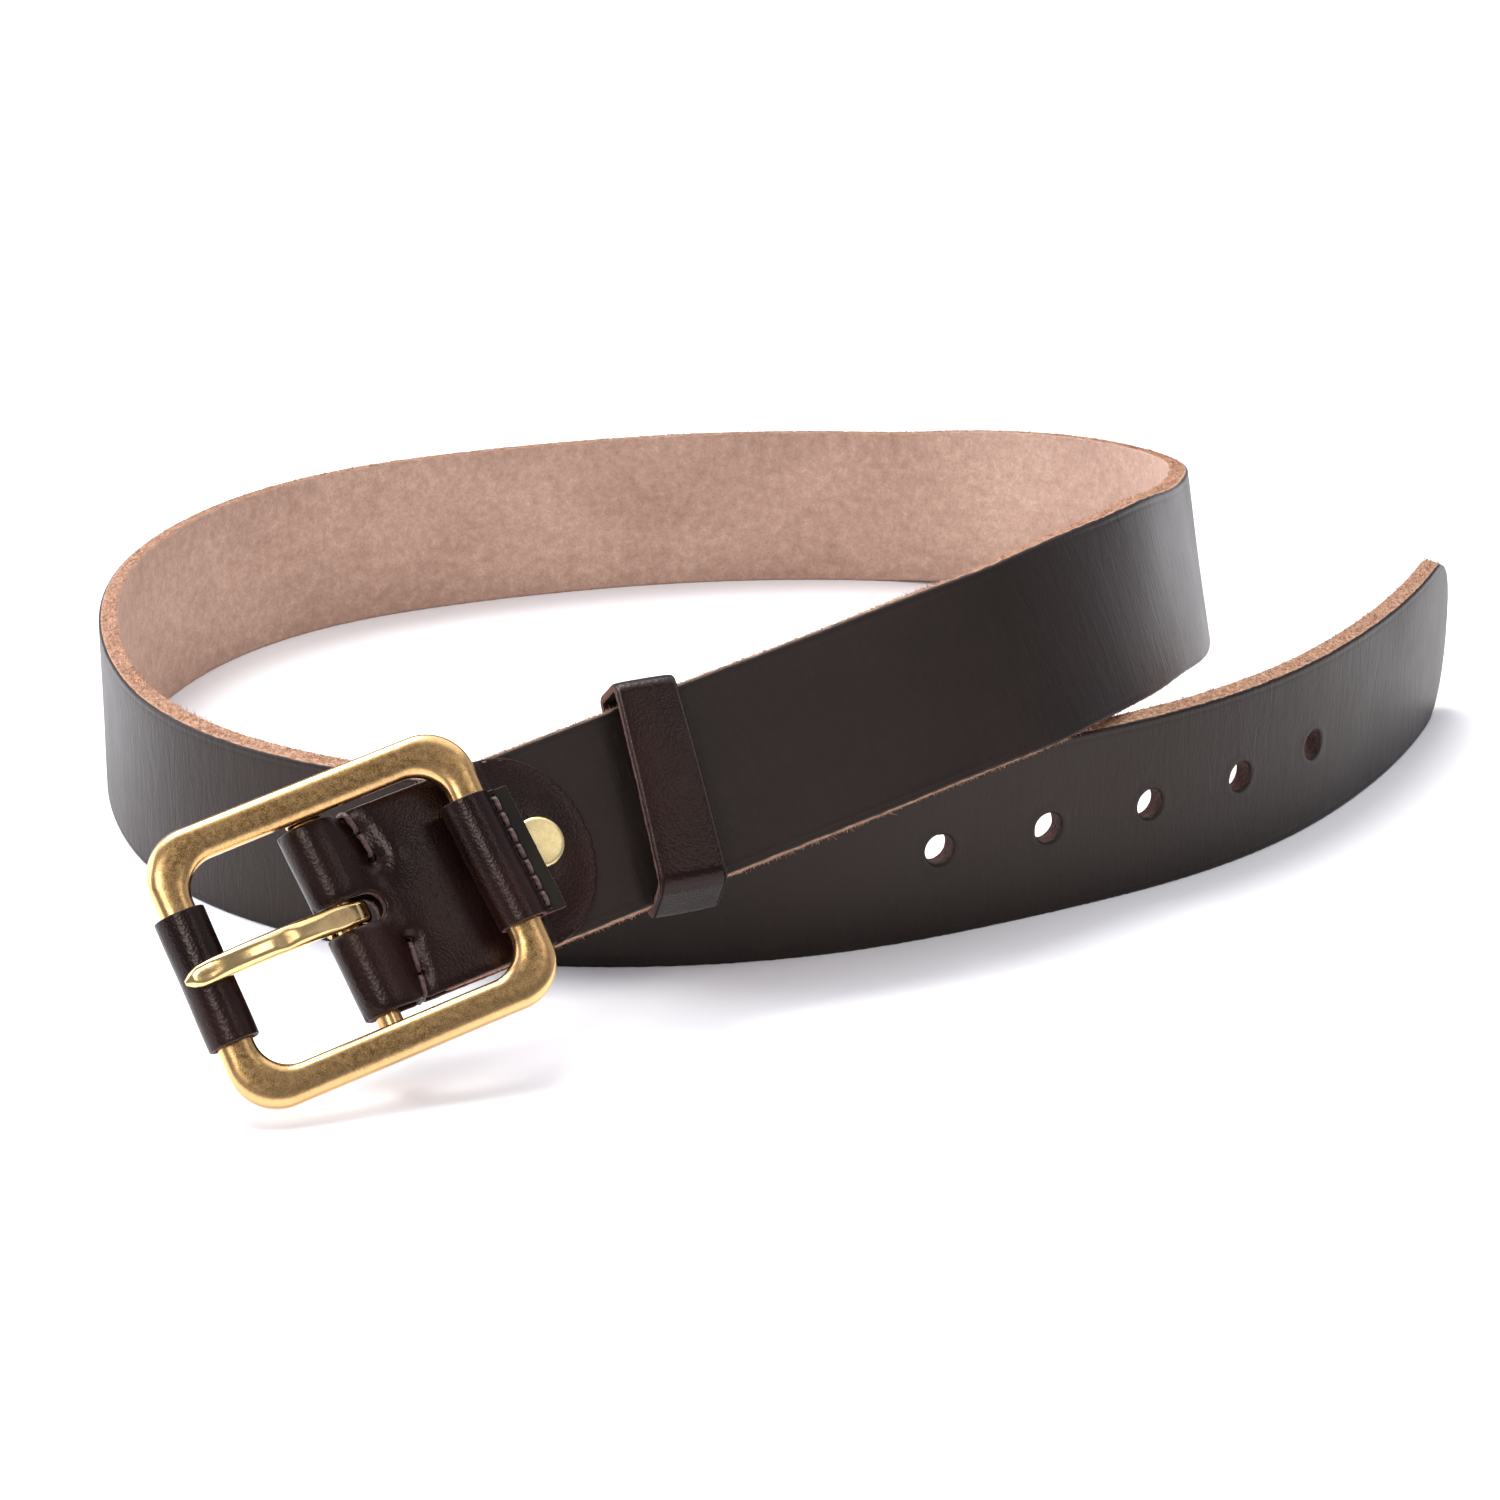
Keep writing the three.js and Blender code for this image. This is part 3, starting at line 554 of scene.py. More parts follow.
def strap_dist(s, w):
    d = np.abs(w) - W / 2
    share = np.clip((s - (TIP - TIP_DEPTH)) / TIP_DEPTH, 0, None)
    r = np.hypot(share, w / (W / 2))
    tip = (r - 1) * W / 2
    d = np.where(share > 0, tip, d)
    for h in HOLES:
        d = np.maximum(d, R_HOLE - np.hypot(s - h, w))
    return np.maximum(d, STRAP_START - s)


def strap_lift(s, w, t):
    """Slow waves in the leather, a worn rise beside each hole, and the crease line near each cut edge."""
    slow = noise3(np.stack([s * 0.02, w * 0.06, s * 0 + 3], -1)) - 0.5
    near = sum(bell(np.hypot(s - h, w) - WORN_R, 0.8) for h in HOLES)
    lift = STRAP_WAVE * slow + WORN_RISE * near * (t > 0)
    return lift - CREASE_DEPTH * bell(np.abs(w) - CREASE_W, 0.35) * (t > 0)


def width_lines():
    """Stations across the strap: fine over the holes and at both edges."""
    half = W / 2 - EDGE
    side = spaced([(FINE_BAND, 0.9), (half - 2.4, 0.3), (half, 1)])
    core = spaced([(-FINE_BAND, FINE_STEP), (FINE_BAND, 1)])
    return np.concatenate([-side[::-1][:-1], core, side[1:]])


def strap_place(s, w, t):
    """The edges are cut aslant: the flesh side stands out further than the grain side."""
    slant = SLANT * (0.5 - t / T)
    reach = ease((np.abs(w) - 12) / 6)
    low = LOW_SLANT * ease((ON_FLOOR - s) / 100)
    return on_route(s, w + slant * reach * np.where(w > 0, 1, -low), t)


SEAM = 948.0
FIBRES_PER_MM = 26.0
# Most fibres stand on the upper edge, where they aren't pressed down.
TOP_FIBRES = 0.62
FIBRE_RINGS = 4
common = dict(place=strap_place, thick=T, bevel=EDGE, mats=[STRAP_GRAIN, FLESH, STRAP_EDGE],
              rim=7, crisp=0.5, wobble=0.32, lift=strap_lift)


RIM_SLOT, HOLE_SLOT = 2, 3


def darken_holes(obj):
    """The walls of the punched holes get a darker cut-edge material."""
    mesh = obj.data
    mesh.materials.append(HOLE_EDGE)
    count = len(mesh.polygons)
    centres, index = np.zeros(count * 3), np.zeros(count, int)
    mesh.polygons.foreach_get("center", centres)
    mesh.polygons.foreach_get("material_index", index)
    centres = centres.reshape(-1, 3) / MM
    for h in HOLES:
        near = np.linalg.norm(centres - on_route(h, 0.0, 0.0), axis=1) < HOLE_WALL_R
        index[near & (index == RIM_SLOT)] = HOLE_SLOT
    mesh.polygons.foreach_set("material_index", index)


# The grid is fine where the holes are and coarser elsewhere.
body_lines = spaced([(STRAP_START + EDGE, 1.2), (905, FINE_STEP), (SEAM, 1)])
front_part = sheet("strap_body", body_lines, width_lines(), strap_dist, open_ends=(SEAM,), **common)
darken_holes(front_part)
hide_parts("strap")
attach(front_part, "belt")
tail_lines = spaced([(SEAM, FINE_STEP), (1024, FINE_STEP), (1026, 1.0), (TIP - 24, 0.5), (TIP, 1)])
tail_part = sheet("strap_tail_end", tail_lines, width_lines(), strap_dist, open_ends=(SEAM,), **common)
darken_holes(tail_part)
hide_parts("strap_tail")
hinge = on_route(HINGE, 0.0, 0.0)
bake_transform(tail_part)


def fibres(name, s_from, s_to, per_mm, seed):
    """Loose fibres standing out of the raw cut edges, each a thin curled spike with three sides."""
    r = np.random.default_rng(seed)
    count = int((s_to - s_from) * per_mm)
    verts, faces = [], []
    for _ in range(count):
        s = r.uniform(s_from, s_to)
        top = r.random() < TOP_FIBRES
        w = W / 2 if top else -W / 2
        sign = 1 if top else -1
        share = (s - (TIP - TIP_DEPTH)) / TIP_DEPTH
        if share > 0:
            w *= math.sqrt(max(0, 1 - min(1, share) ** 2))
        t = r.uniform(-T / 2, T / 2 * 0.55)
        size = r.gamma(2.2, 0.15) + 0.12
        dirs = np.array([r.normal(0, 0.8), sign * abs(r.normal(0.7, 0.4)), r.normal(-0.1, 0.6)])
        dirs /= np.linalg.norm(dirs)
        curl = r.normal(0, 0.5, 3)
        rad = r.uniform(0.05, 0.1)
        base = len(verts)
        for k in range(FIBRE_RINGS):
            f = k / (FIBRE_RINGS - 1)
            q = np.array([s, w, t]) + dirs * size * f + curl * size * 0.35 * f * f
            if not top and q[1] < -W / 2 - 0.25 and s > ON_FLOOR:
                q[1] = -W / 2 - 0.1
            rr = rad * (1 - 0.75 * f)
            for a in (0, 2.1, 4.2):
                verts.append((q[0] + rr * math.cos(a), q[1] + rr * 0.3, q[2] + rr * math.sin(a)))
        for k in range(FIBRE_RINGS - 1):
            a, b = base + 3 * k, base + 3 * k + 3
            faces += [(a + j, a + (j + 1) % 3, b + (j + 1) % 3, b + j) for j in range(3)]
        faces.append((base + 2, base + 1, base))
        tip = base + 3 * (FIBRE_RINGS - 1)
        faces.append((tip, tip + 1, tip + 2))
    v = np.array(verts)
    return new_object(name, strap_place(v[:, 0], v[:, 1], v[:, 2]), faces, [FIBRE], fix=False)


fuzz = fibres("strap_edge_fibres", STRAP_START + 10, SEAM, FIBRES_PER_MM, 3)
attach(fuzz, "belt")
tail_fuzz = fibres("tail_edge_fibres", SEAM, TIP - 0.5, FIBRES_PER_MM, 4)
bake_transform(tail_fuzz)


# ------------------------------------------------------------------ folded and rolled pieces
class Path2:
    """A polyline in a piece's own x, z plane, softened, then read by length."""

    def __init__(self, pts, rounds=2):
        pts = np.array(pts, float)
        for _ in range(rounds):
            q = np.empty((2 * len(pts) - 2, 2))
            q[0::2] = pts[:-1] * 0.75 + pts[1:] * 0.25
            q[1::2] = pts[:-1] * 0.25 + pts[1:] * 0.75
            pts = np.vstack([pts[:1], q, pts[-1:]])
        seg = np.hypot(*np.diff(pts, axis=0).T)
        keep = np.r_[True, seg > 1e-5]
        pts = pts[keep]
        self.len = np.r_[0, np.cumsum(np.hypot(*np.diff(pts, axis=0).T))]
        self.total = self.len[-1]
        self.pts = pts

    def at(self, p):
        x = np.interp(p, self.len, self.pts[:, 0])
        z = np.interp(p, self.len, self.pts[:, 1])
        e = 0.25
        lo, hi = np.clip(p - e, 0, self.total), np.clip(p + e, 0, self.total)
        tx = np.interp(hi, self.len, self.pts[:, 0]) - np.interp(lo, self.len, self.pts[:, 0])
        tz = np.interp(hi, self.len, self.pts[:, 1]) - np.interp(lo, self.len, self.pts[:, 1])
        n = np.hypot(tx, tz) + 1e-9
        return x, z, tx / n, tz / n


def arc(cx, cz, r, a0, a1, n):
    a = np.radians(np.linspace(a0, a1, n))
    return [(cx + r * math.cos(v), cz + r * math.sin(v)) for v in a]


# ------------------------------------------------------------------ chape
C_T = 1.9
C_HALF = 19.25
C_FOLD = 4.15
C_BLEND = 10.0
C_FLAT = T / 2 + C_T / 2 + 0.04
TAB = 50.5
TAB_DEPTH = 15.5


def chape_level(x, fold, flat):
    return flat + (fold - flat) * 0.5 * (1 + math.cos(math.pi * min(1, x / C_BLEND)))


front_x = np.linspace(TAB, 0, 60)
back_x = np.linspace(0, TAB, 60)
chape_path = Path2([(x, chape_level(x, BAR_LIFT + C_FOLD, C_FLAT)) for x in front_x] +
                   arc(0, BAR_LIFT, C_FOLD, 90, 270, 26)[1:-1] +
                   [(x, chape_level(x, BAR_LIFT - C_FOLD, -C_FLAT)) for x in back_x], 1)
chape_mid = chape_path.total / 2
SLOT_R = 2.85
SLOT_END = 7.5
SLOT_SIDE = 0.35
half_n = len(chape_path.pts) // 2


def path_at_x(x):
    """Length along the front tab's side of the path where it is x from the bar."""
    return np.interp(-x, -chape_path.pts[:half_n, 0], chape_path.len[:half_n])


slot_reach = chape_mid - path_at_x(SLOT_END) - SLOT_R
# The saddle stitches: two holes a side, and a turn of thread over the chape's edge. (x, y)
UPPER_ROW = [(9.2, 9.2), (8.5, 14.4), (7.1, C_HALF)]
LOWER_ROW = [(9.2, -8.0), (8.4, -14.6), (7.5, -C_HALF)]
STITCH_HOLE_R = 0.62
PRESS_DEPTH = (1.5, 0.9)
PRESS_WIDTH = (2.4, 1.8)
HOLE_PULL, SLOT_PRESS, FOLD_SWELL, TAB_ROLL = 0.35, 0.3, 0.3, 0.22
FOLD_SKEW = 0.04
# The round ends of the tabs are pared down to this share of the thickness.
SKIVED = 0.42
STITCH_PW = [[(float(path_at_x(x)), y) for x, y in row] for row in (UPPER_ROW, LOWER_ROW)]


def chape_slot(p, w):
    q = np.abs(p - chape_mid)
    return np.hypot(np.clip(q - slot_reach, 0, None), w - SLOT_SIDE) - SLOT_R


def chape_dist(p, w):
    d = np.abs(w) - C_HALF
    for end in (p, chape_path.total - p):
        share = np.clip((TAB_DEPTH - end) / TAB_DEPTH, 0, None)
        d = np.where(share > 0, (np.hypot(share, w / C_HALF) - 1) * C_HALF, d)
    d = np.maximum(d, -chape_slot(p, w))
    for row in STITCH_PW:
        for hp, hw in row:
            for q in (hp, chape_path.total - hp):
                d = np.maximum(d, STITCH_HOLE_R - np.hypot(p - q, w - hw))
    return d


def row_distance(p, w, row):
    """Distance to the stitched line and how far along it the nearest point is."""
    best = np.full(np.shape(p), 1e9)
    for (p0, w0), (p1, w1) in zip(row, row[1:]):
        lp, lw = p1 - p0, w1 - w0
        f = np.clip(((p - p0) * lp + (w - w0) * lw) / (lp * lp + lw * lw), 0, 1)
        best = np.minimum(best, np.hypot(p - p0 - f * lp, w - w0 - f * lw))
    return best


def chape_place(p, w, t):
    x, z, tx, tz = chape_path.at(p)
    half = C_T / 2
    end = np.minimum(p, chape_path.total - p)
    share = np.clip((TAB_DEPTH - end) / TAB_DEPTH, 0, None)
    rim_gap = np.where(share > 0, (1 - np.hypot(share, w / C_HALF)) * 16, 16)
    thin = SKIVED + (1 - SKIVED) * ease(rim_gap / 9)
    t = -half + (t + half) * thin
    front = p < chape_mid
    press = 0
    for row, depth, wide in zip(STITCH_PW, PRESS_DEPTH, PRESS_WIDTH):
        away = row_distance(p, w, row)
        holes = sum(bell(np.hypot(p - hp, w - hw), 1.3) for hp, hw in row)
        press = press - depth * bell(away, wide) - HOLE_PULL * np.clip(holes, 0, 1)
        # the leather stands up again on the keeper's side of the stitches
        mid_p, mid_w = row[0][0] - 4.2, row[0][1] * 0.86
        press = press + 0.5 * depth * np.exp(-((p - mid_p) / 4.2) ** 2 - ((w - mid_w) / 5.5) ** 2)
    press = press - SLOT_PRESS * bell(chape_slot(p, w), 0.9)
    swell = bell(p - chape_mid + 9.5, 3.2) * FOLD_SWELL * (1 - bell(w - SLOT_SIDE, 4.0))
    wave = 0.22 * (noise3(np.stack([p * 0.13, w * 0.13, p * 0 + 11], -1)) - 0.5)
    # edges of the front tab roll under a little
    roll = -TAB_ROLL * bell(C_HALF - np.abs(w), 1.1)
    t = t + np.where(front, press + swell + roll, 0) + wave
    # the leather's outer face is on the path's left while the path runs from the front tab to the fold
    nx, nz = -tz, tx
    skew = FOLD_SKEW * w * ease((14 - x) / 12)
    return on_seat(x - nx * t - skew, w, z - nz * t)


chape = sheet("chape_leather",
              spaced([(0.0, 0.5), (path_at_x(14), 0.27), (chape_mid + 12, 0.6), (chape_path.total, 1)]),
              spaced([(-C_HALF + 0.4, 0.3), (C_HALF - 0.4, 1)]),
              chape_dist, chape_place, C_T, 0.4, TRIM_MATS, rim=4, crisp=0.4, wobble=0.1)
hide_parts("chape")
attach(chape, "belt")


# ------------------------------------------------------------------ rolled sleeves
S_WALL = 1.15
S_MID = 3.75 + S_WALL / 2
OUTER = (32.8, 27.9, 9.5)
INNER = (25.9, 20.8, 6.5)
LOOP_SHIFT = 0.2
END_X = (OUTER[0] + INNER[0]) / 2
LOOP_Z = 5.6


def rolled(name, half, flap, lap, lift, place, node, body, holes, hole_x):
    """Leather rolled round an end bar: its lower end runs out to flap, the upper one to lap."""
    lo, hi = lift - S_WALL / 2 - 0.06, lift + S_WALL / 2 + 0.06
    a_lo, a_hi = math.degrees(math.asin(lo / S_MID)), math.degrees(math.asin(hi / S_MID))
    start = [(x, lo) for x in np.linspace(flap, S_MID * math.cos(math.radians(a_lo)) + 0.4, 8)]
    ring = arc(0, 0, S_MID, a_lo - 5, a_hi + 5 - 360, 60)
    end = [(x, hi) for x in np.linspace(S_MID * math.cos(math.radians(a_hi)) + 0.5, lap, 8)]
    path = Path2(start + ring + end, 2)
    # stitch holes go through both layers of the flap
    rows = [flap - hole_x, path.total - (lap - hole_x)]

    def dist(p, w):
        d = np.maximum(np.abs(w) - half, np.abs(p - path.total / 2) - path.total / 2)
        for y in holes:
            for q in rows:
                d = np.maximum(d, 0.45 - np.hypot(p - q, w - y))
        return d

    def rolled_place(p, w, t):
        x, z, tx, tz = path.at(p)
        wave = 0.2 * (noise3(np.stack([p * 0.22, w * 0.11, p * 0 + len(name)], -1)) - 0.5)
        pull = sum(bell(w - y, 0.8) for y in holes) * sum(bell(p - q, 0.9) for q in rows) * -0.2
        t = t + wave + pull
        return place(x - tz * t, w, z + tx * t)

    piece = sheet(name, spaced([(0.25, 0.3), (path.total - 0.25, 1)]),
                  spaced([(-half + 0.25, 0.3), (half - 0.25, 1)]),
                  dist, rolled_place, S_WALL, 0.25, TRIM_MATS, rim=3, crisp=0.25, wobble=0.06)
    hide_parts(node)
    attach(piece, body)


def rear_place(x, y, z):
    return on_buckle(LOOP_SHIFT + END_X + x - 0.05 * (y + 9), y, LOOP_Z + z)


def front_place(x, y, z):
    return on_buckle(LOOP_SHIFT - END_X + z, y, LOOP_Z - x)


REAR_HOLES = list(np.linspace(-11.7, 11.7, 8))
FRONT_HOLES = list(np.linspace(-10.8, 10.8, 7))
REAR_LIFT = -1.2
REAR_STITCH_X = 5.6
FRONT_STITCH_X = 5.9
rolled("rear_sleeve_leather", 12.9, 9.1, 6.4, REAR_LIFT, rear_place, "rear_bar_sleeve", "buckle", REAR_HOLES,
       REAR_STITCH_X)
rolled("front_sleeve_leather", 13.0, 7.1, 7.1, 0.0, front_place, "front_bar_sleeve", "buckle", FRONT_HOLES,
       FRONT_STITCH_X)


# ------------------------------------------------------------------ stitches
TWIST = 2.2


def stitch_parts(a, b, normal, sink, rise_by, radius):
    """One twisted two-ply stitch from hole a to hole b, with its ends sunk into the leather."""
    a, b, normal = (np.asarray(v, float) for v in (a, b, normal))
    n, m = 26, 12
    ts = np.linspace(0, 1, n)
    run = (b - a)
    length = np.linalg.norm(run)
    run = run / length
    h = -sink + (sink + rise_by) * np.clip(np.sin(np.pi * ts) * 1.6, 0, 1)
    pts = a + (b - a) * (0.04 + 0.92 * ts)[:, None] + normal * h[:, None]
    side = np.cross(normal, run)
    verts, faces = [], []
    for k, t in enumerate(ts):
        taper = 1.0 if 0 < k < n - 1 else 0.7
        for j in range(m):
            ang = 2 * math.pi * j / m
            r = radius * taper * (0.86 + 0.2 * abs(math.cos(ang + TWIST * math.pi * t)))
            verts.append(pts[k] + side * r * math.cos(ang) + normal * r * math.sin(ang))
    for k in range(n - 1):
        for j in range(m):
            p, q = k * m, (k + 1) * m
            faces.append((p + j, p + (j + 1) % m, q + (j + 1) % m, q + j))
    faces += [tuple(reversed(range(m))), tuple(range((n - 1) * m, n * m))]
    return np.array(verts), faces


def stitch_row(name, place, runs, node, body):
    piece = solid_join(name, [stitch_parts(*r) for r in runs], [THREAD], place)
    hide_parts(node)
    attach(piece, body)


def chape_surface(x, y, side):
    """Level of the pressed leather's face at a stitch hole: side 1 is the front, -1 the back."""
    level = chape_level(x, BAR_LIFT + side * C_FOLD, side * C_FLAT)
    return level + side * C_T / 2 - (1.0 if side > 0 else 0)


for row, node in ((UPPER_ROW, "chape_stitch_upper"), (LOWER_ROW, "chape_stitch_lower")):
    parts = []
    for side in (1, -1):
        for (x0, y0), (x1, y1) in zip(row, row[1:]):
            a = (x0, y0, chape_surface(x0, y0, side))
            b = (x1, y1, chape_surface(x1, y1, side))
            parts.append((a, b, (0, 0, side), 0.7, 0.42, 0.5))
    # the thread's turn over the edge
    x, y = row[-1]
    sign = math.copysign(1, y)
    a = (x, y - sign * 0.5, chape_surface(x, y, 1) + 0.3)
    b = (x, y - sign * 0.5, chape_surface(x, y, -1) - 0.3)
    parts.append((a, b, (0, sign, 0), 0.2, 0.25, 0.5))
    stitch_row(node + "_thread", on_seat, parts, node, "belt")


def flap_stitches(name, place, holes, x, upper, lower, node):
    runs = []
    for y0, y1 in zip(holes, holes[1:]):
        runs.append(((x, y0, upper), (x, y1, upper), (0, 0, 1), 0.8, 0.3, 0.5))
        runs.append(((x, y0, lower), (x, y1, lower), (0, 0, -1), 0.8, 0.12, 0.4))
    stitch_row(name, place, runs, node, "buckle")


LAP = S_WALL + 0.05
flap_stitches("rear_sleeve_stitches", rear_place, REAR_HOLES, REAR_STITCH_X,
              REAR_LIFT + LAP, REAR_LIFT - LAP, "rear_sleeve_thread")
flap_stitches("front_sleeve_stitches", front_place, FRONT_HOLES, FRONT_STITCH_X,
              LAP, -LAP, "front_sleeve_thread")


# ------------------------------------------------------------------ keeper
KX, KW, K_WALL = 67.6, 13.2, 1.7
K_TURN = math.radians(11)
K_HALF, K_BACK, K_FRONT = 21.0, -2.6, 7.0
ky, kb, kf = K_HALF + K_WALL / 2, K_BACK - K_WALL / 2, K_FRONT + K_WALL / 2
# Seam, back, sharp top bend, front, then a slack lower bend.
keeper_pts = [(0.12, kb), (ky - 2, kb)] + arc(ky - 1.5, kb + 1.5, 1.5, -90, 0, 7) + \
    arc(ky - 2.2, kf - 2.2, 2.2, 0, 90, 12) + arc(-ky + 5.4, kf - 3.2, 3.2, 90, 155, 9) + \
    arc(-ky + 1.7, kb + 1.7, 1.7, 170, 270, 8) + [(-ky + 2, kb), (-0.12, kb)]
dense = []
for q0, q1 in zip(keeper_pts, keeper_pts[1:]):
    n = max(1, int(math.hypot(q1[0] - q0[0], q1[1] - q0[1]) / 1.5))
    dense += [(q0[0] + (q1[0] - q0[0]) * i / n, q0[1] + (q1[1] - q0[1]) * i / n) for i in range(n)]
keeper_path = Path2(dense + [keeper_pts[-1]], 2)


def on_keeper(x, y, z):
    """The keeper's own axes: askew on the strap, its top further from the buckle."""
    c, s = math.cos(K_TURN), math.sin(K_TURN)
    return on_seat(KX + x * c + y * s, y * c - x * s, z)


def keeper_dist(p, w):
    return np.maximum(np.abs(w) - KW / 2, np.abs(p - keeper_path.total / 2) - keeper_path.total / 2)


def keeper_place(p, w, t):
    y, z, ty, tz = keeper_path.at(p)
    wave = 0.34 * (noise3(np.stack([p * 0.09, w * 0.1, p * 0 + 31], -1)) - 0.5)
    belly = np.where(z > K_FRONT, 0.5 * np.cos(np.clip(y / ky, -1, 1) * math.pi / 2), 0)
    edge_curl = 0.22 * (np.abs(w) / (KW / 2)) ** 4
    t = t + wave + belly - edge_curl
    narrow = 0.99 - 0.06 * np.clip(y / ky, -1, 1)
    return on_keeper(w * narrow, y + tz * t, z - ty * t)


keeper = sheet("keeper_band", spaced([(0.3, 0.3), (keeper_path.total - 0.3, 1)]),
               spaced([(-KW / 2 + 0.3, 0.3), (KW / 2 - 0.3, 1)]),
               keeper_dist, keeper_place, K_WALL, 0.45, TRIM_MATS, rim=4, crisp=0.35, wobble=0.2)
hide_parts("keeper_loop")
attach(keeper, "keeper")

parts = []
for i, x in enumerate((-4.5, -1.5, 1.5)):
    y0, y1 = (-2.2, 2.2) if i % 2 == 0 else (2.2, -2.2)
    z = K_BACK - K_WALL - 0.05
    parts.append(((x, y0, z), (x + 3, y1, z), (0, 0, -1), 0.8, 0.15, 0.42))
stitch_row("keeper_seam_stitches", on_keeper, parts, "keeper_seam_thread", "keeper")


# ------------------------------------------------------------------ buckle frame
FRAME_THICK = 5.2
FRAME_CROWN = 0.34
FRAME_SQUARENESS = 0.66
FRAME_RING, FRAME_STEPS = 48, 480


def outline_point(size, share):
    """A rounded rectangle's point by share of the way round from the middle of its +X side."""
    half_x, half_y, corner = size
    quarter = min(3, int(share * 4))
    part = share * 4 - quarter
    fx, fy = (half_y, half_x) if quarter % 2 else (half_x, half_y)
    rise_end, bend_end = 0.35, 0.65
    up = min(1, part / rise_end)
    turn = min(1, max(0, (part - rise_end) / (bend_end - rise_end))) * math.pi / 2
    back = max(0, (part - bend_end) / (1 - bend_end))
    x = (fx - corner) * (1 - back) + corner * math.cos(turn)
    y = (fy - corner) * up + corner * math.sin(turn)
    h = quarter * math.pi / 2
    return np.array([x * math.cos(h) - y * math.sin(h), x * math.sin(h) + y * math.cos(h)])


def frame_mesh():
    """The cast loop: a flattened, rounded section between an outer and an inner outline."""
    m, n = FRAME_RING, FRAME_STEPS
    ang = np.linspace(0, 2 * math.pi, m, endpoint=False)
    c, s = np.cos(ang), np.sin(ang)
    sx, sz = np.sign(c) * np.abs(c) ** FRAME_SQUARENESS, \
        np.sign(s) * np.abs(s) ** FRAME_SQUARENESS
    verts, polish = [], []
    for k in range(n):
        inner = outline_point(INNER, k / n)
        outer = outline_point(OUTER, k / n)
        mid, reach = (inner + outer) / 2, (outer - inner) / 2
        # the face falls away a little to the outside
        crown = FRAME_CROWN * (1 - (sx + 0.12) ** 2)
        height = (FRAME_THICK / 2 - FRAME_CROWN) * sz + crown * np.clip(sz, 0, 1)
        xy = mid + reach * sx[:, None]
        verts.append(np.stack([LOOP_SHIFT + xy[:, 0], xy[:, 1], LOOP_Z + height], -1))
        face = np.clip(1 - np.abs(sx + 0.05) ** 2.6, 0, 1) * np.clip((sz - 0.35) / 0.4, 0, 1)
        polish.append(1 - face)
    verts = np.concatenate(verts)
    polish = np.concatenate(polish)
    faces = []
    for k in range(n):
        a, b = k * m, ((k + 1) % n) * m
        faces += [(a + j, b + j, b + (j + 1) % m, a + (j + 1) % m) for j in range(m)]
    wear = noise3(verts * 0.12)
    polish = np.clip(polish + 0.5 * (wear - 0.5), 0, 1)
    return verts, faces, polish


fv, ff, fp = frame_mesh()
count = len(fv)
for side in (-1, 1):
    # cast lug under each rail, which holds the centre bar
    n = 28
    ring = []
    for y, r in ((20.9, 3.0), (21.2, 3.5), (24.6, 3.6), (25.2, 3.2)):
        for j in range(n):
            a = 2 * math.pi * j / n
            z = r * math.sin(a)
            z = z if z < 0 else z * 1.25
            ring.append((r * math.cos(a), side * y, z))
    base = len(fv)
    fv = np.vstack([fv, ring])
    for k in range(3):
        a, b = base + k * n, base + (k + 1) * n
        ff += [(a + j, a + (j + 1) % n, b + (j + 1) % n, b + j) for j in range(n)]
    ff += [tuple(range(base, base + n)), tuple(range(base + 3 * n, base + 4 * n))]
fp = np.r_[fp, np.full(len(fv) - count, 0.7)]
buckle = new_object("frame_casting", on_buckle(fv[:, 0], fv[:, 1], fv[:, 2]), ff, [BRASS],
                    floats={"polish": fp})
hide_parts("buckle_frame")
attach(buckle, "buckle")

bar_profile = [(0, -23.8), (2.0, -23.8), (2.4, -23.4)] + [(2.4, z) for z in np.linspace(-22, 22, 12)] + \
    [(2.4, 23.4), (2.0, 23.8), (0, 23.8)]
bv, bf = lathe(bar_profile, 36)
bar_obj = new_object("centre_bar_pin", on_buckle(bv[:, 0], bv[:, 2], bv[:, 1]), bf, [BRASS],
                     floats={"polish": np.full(len(bv), 0.6)})
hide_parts("centre_bar")
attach(bar_obj, "buckle")


# ------------------------------------------------------------------ prong
PRONG_SIDE = 1.2
PRONG_TURN = math.radians(2)
EYE_R = 3.75
EYE_ARC = (-150, 66)
FACET_POWER = 9
# Hammered hollows in the top facet: depth, place along the blade, width.
PRONG_DENTS = [(0.34, 0.13, 0.07), (0.26, 0.46, 0.05), (0.36, 0.87, 0.06)]


def facet_section(planes, ang):
    """A soft-cornered polygon: the p-norm of its facets, as (angle, distance) in degrees and mm."""
    total = 0
    for deg, dist in planes:
        total = total + np.clip(np.cos(ang - math.radians(deg)) / dist, 0, None) ** FACET_POWER
    r = total ** (-1 / FACET_POWER)
    return r * np.cos(ang), r * np.sin(ang)


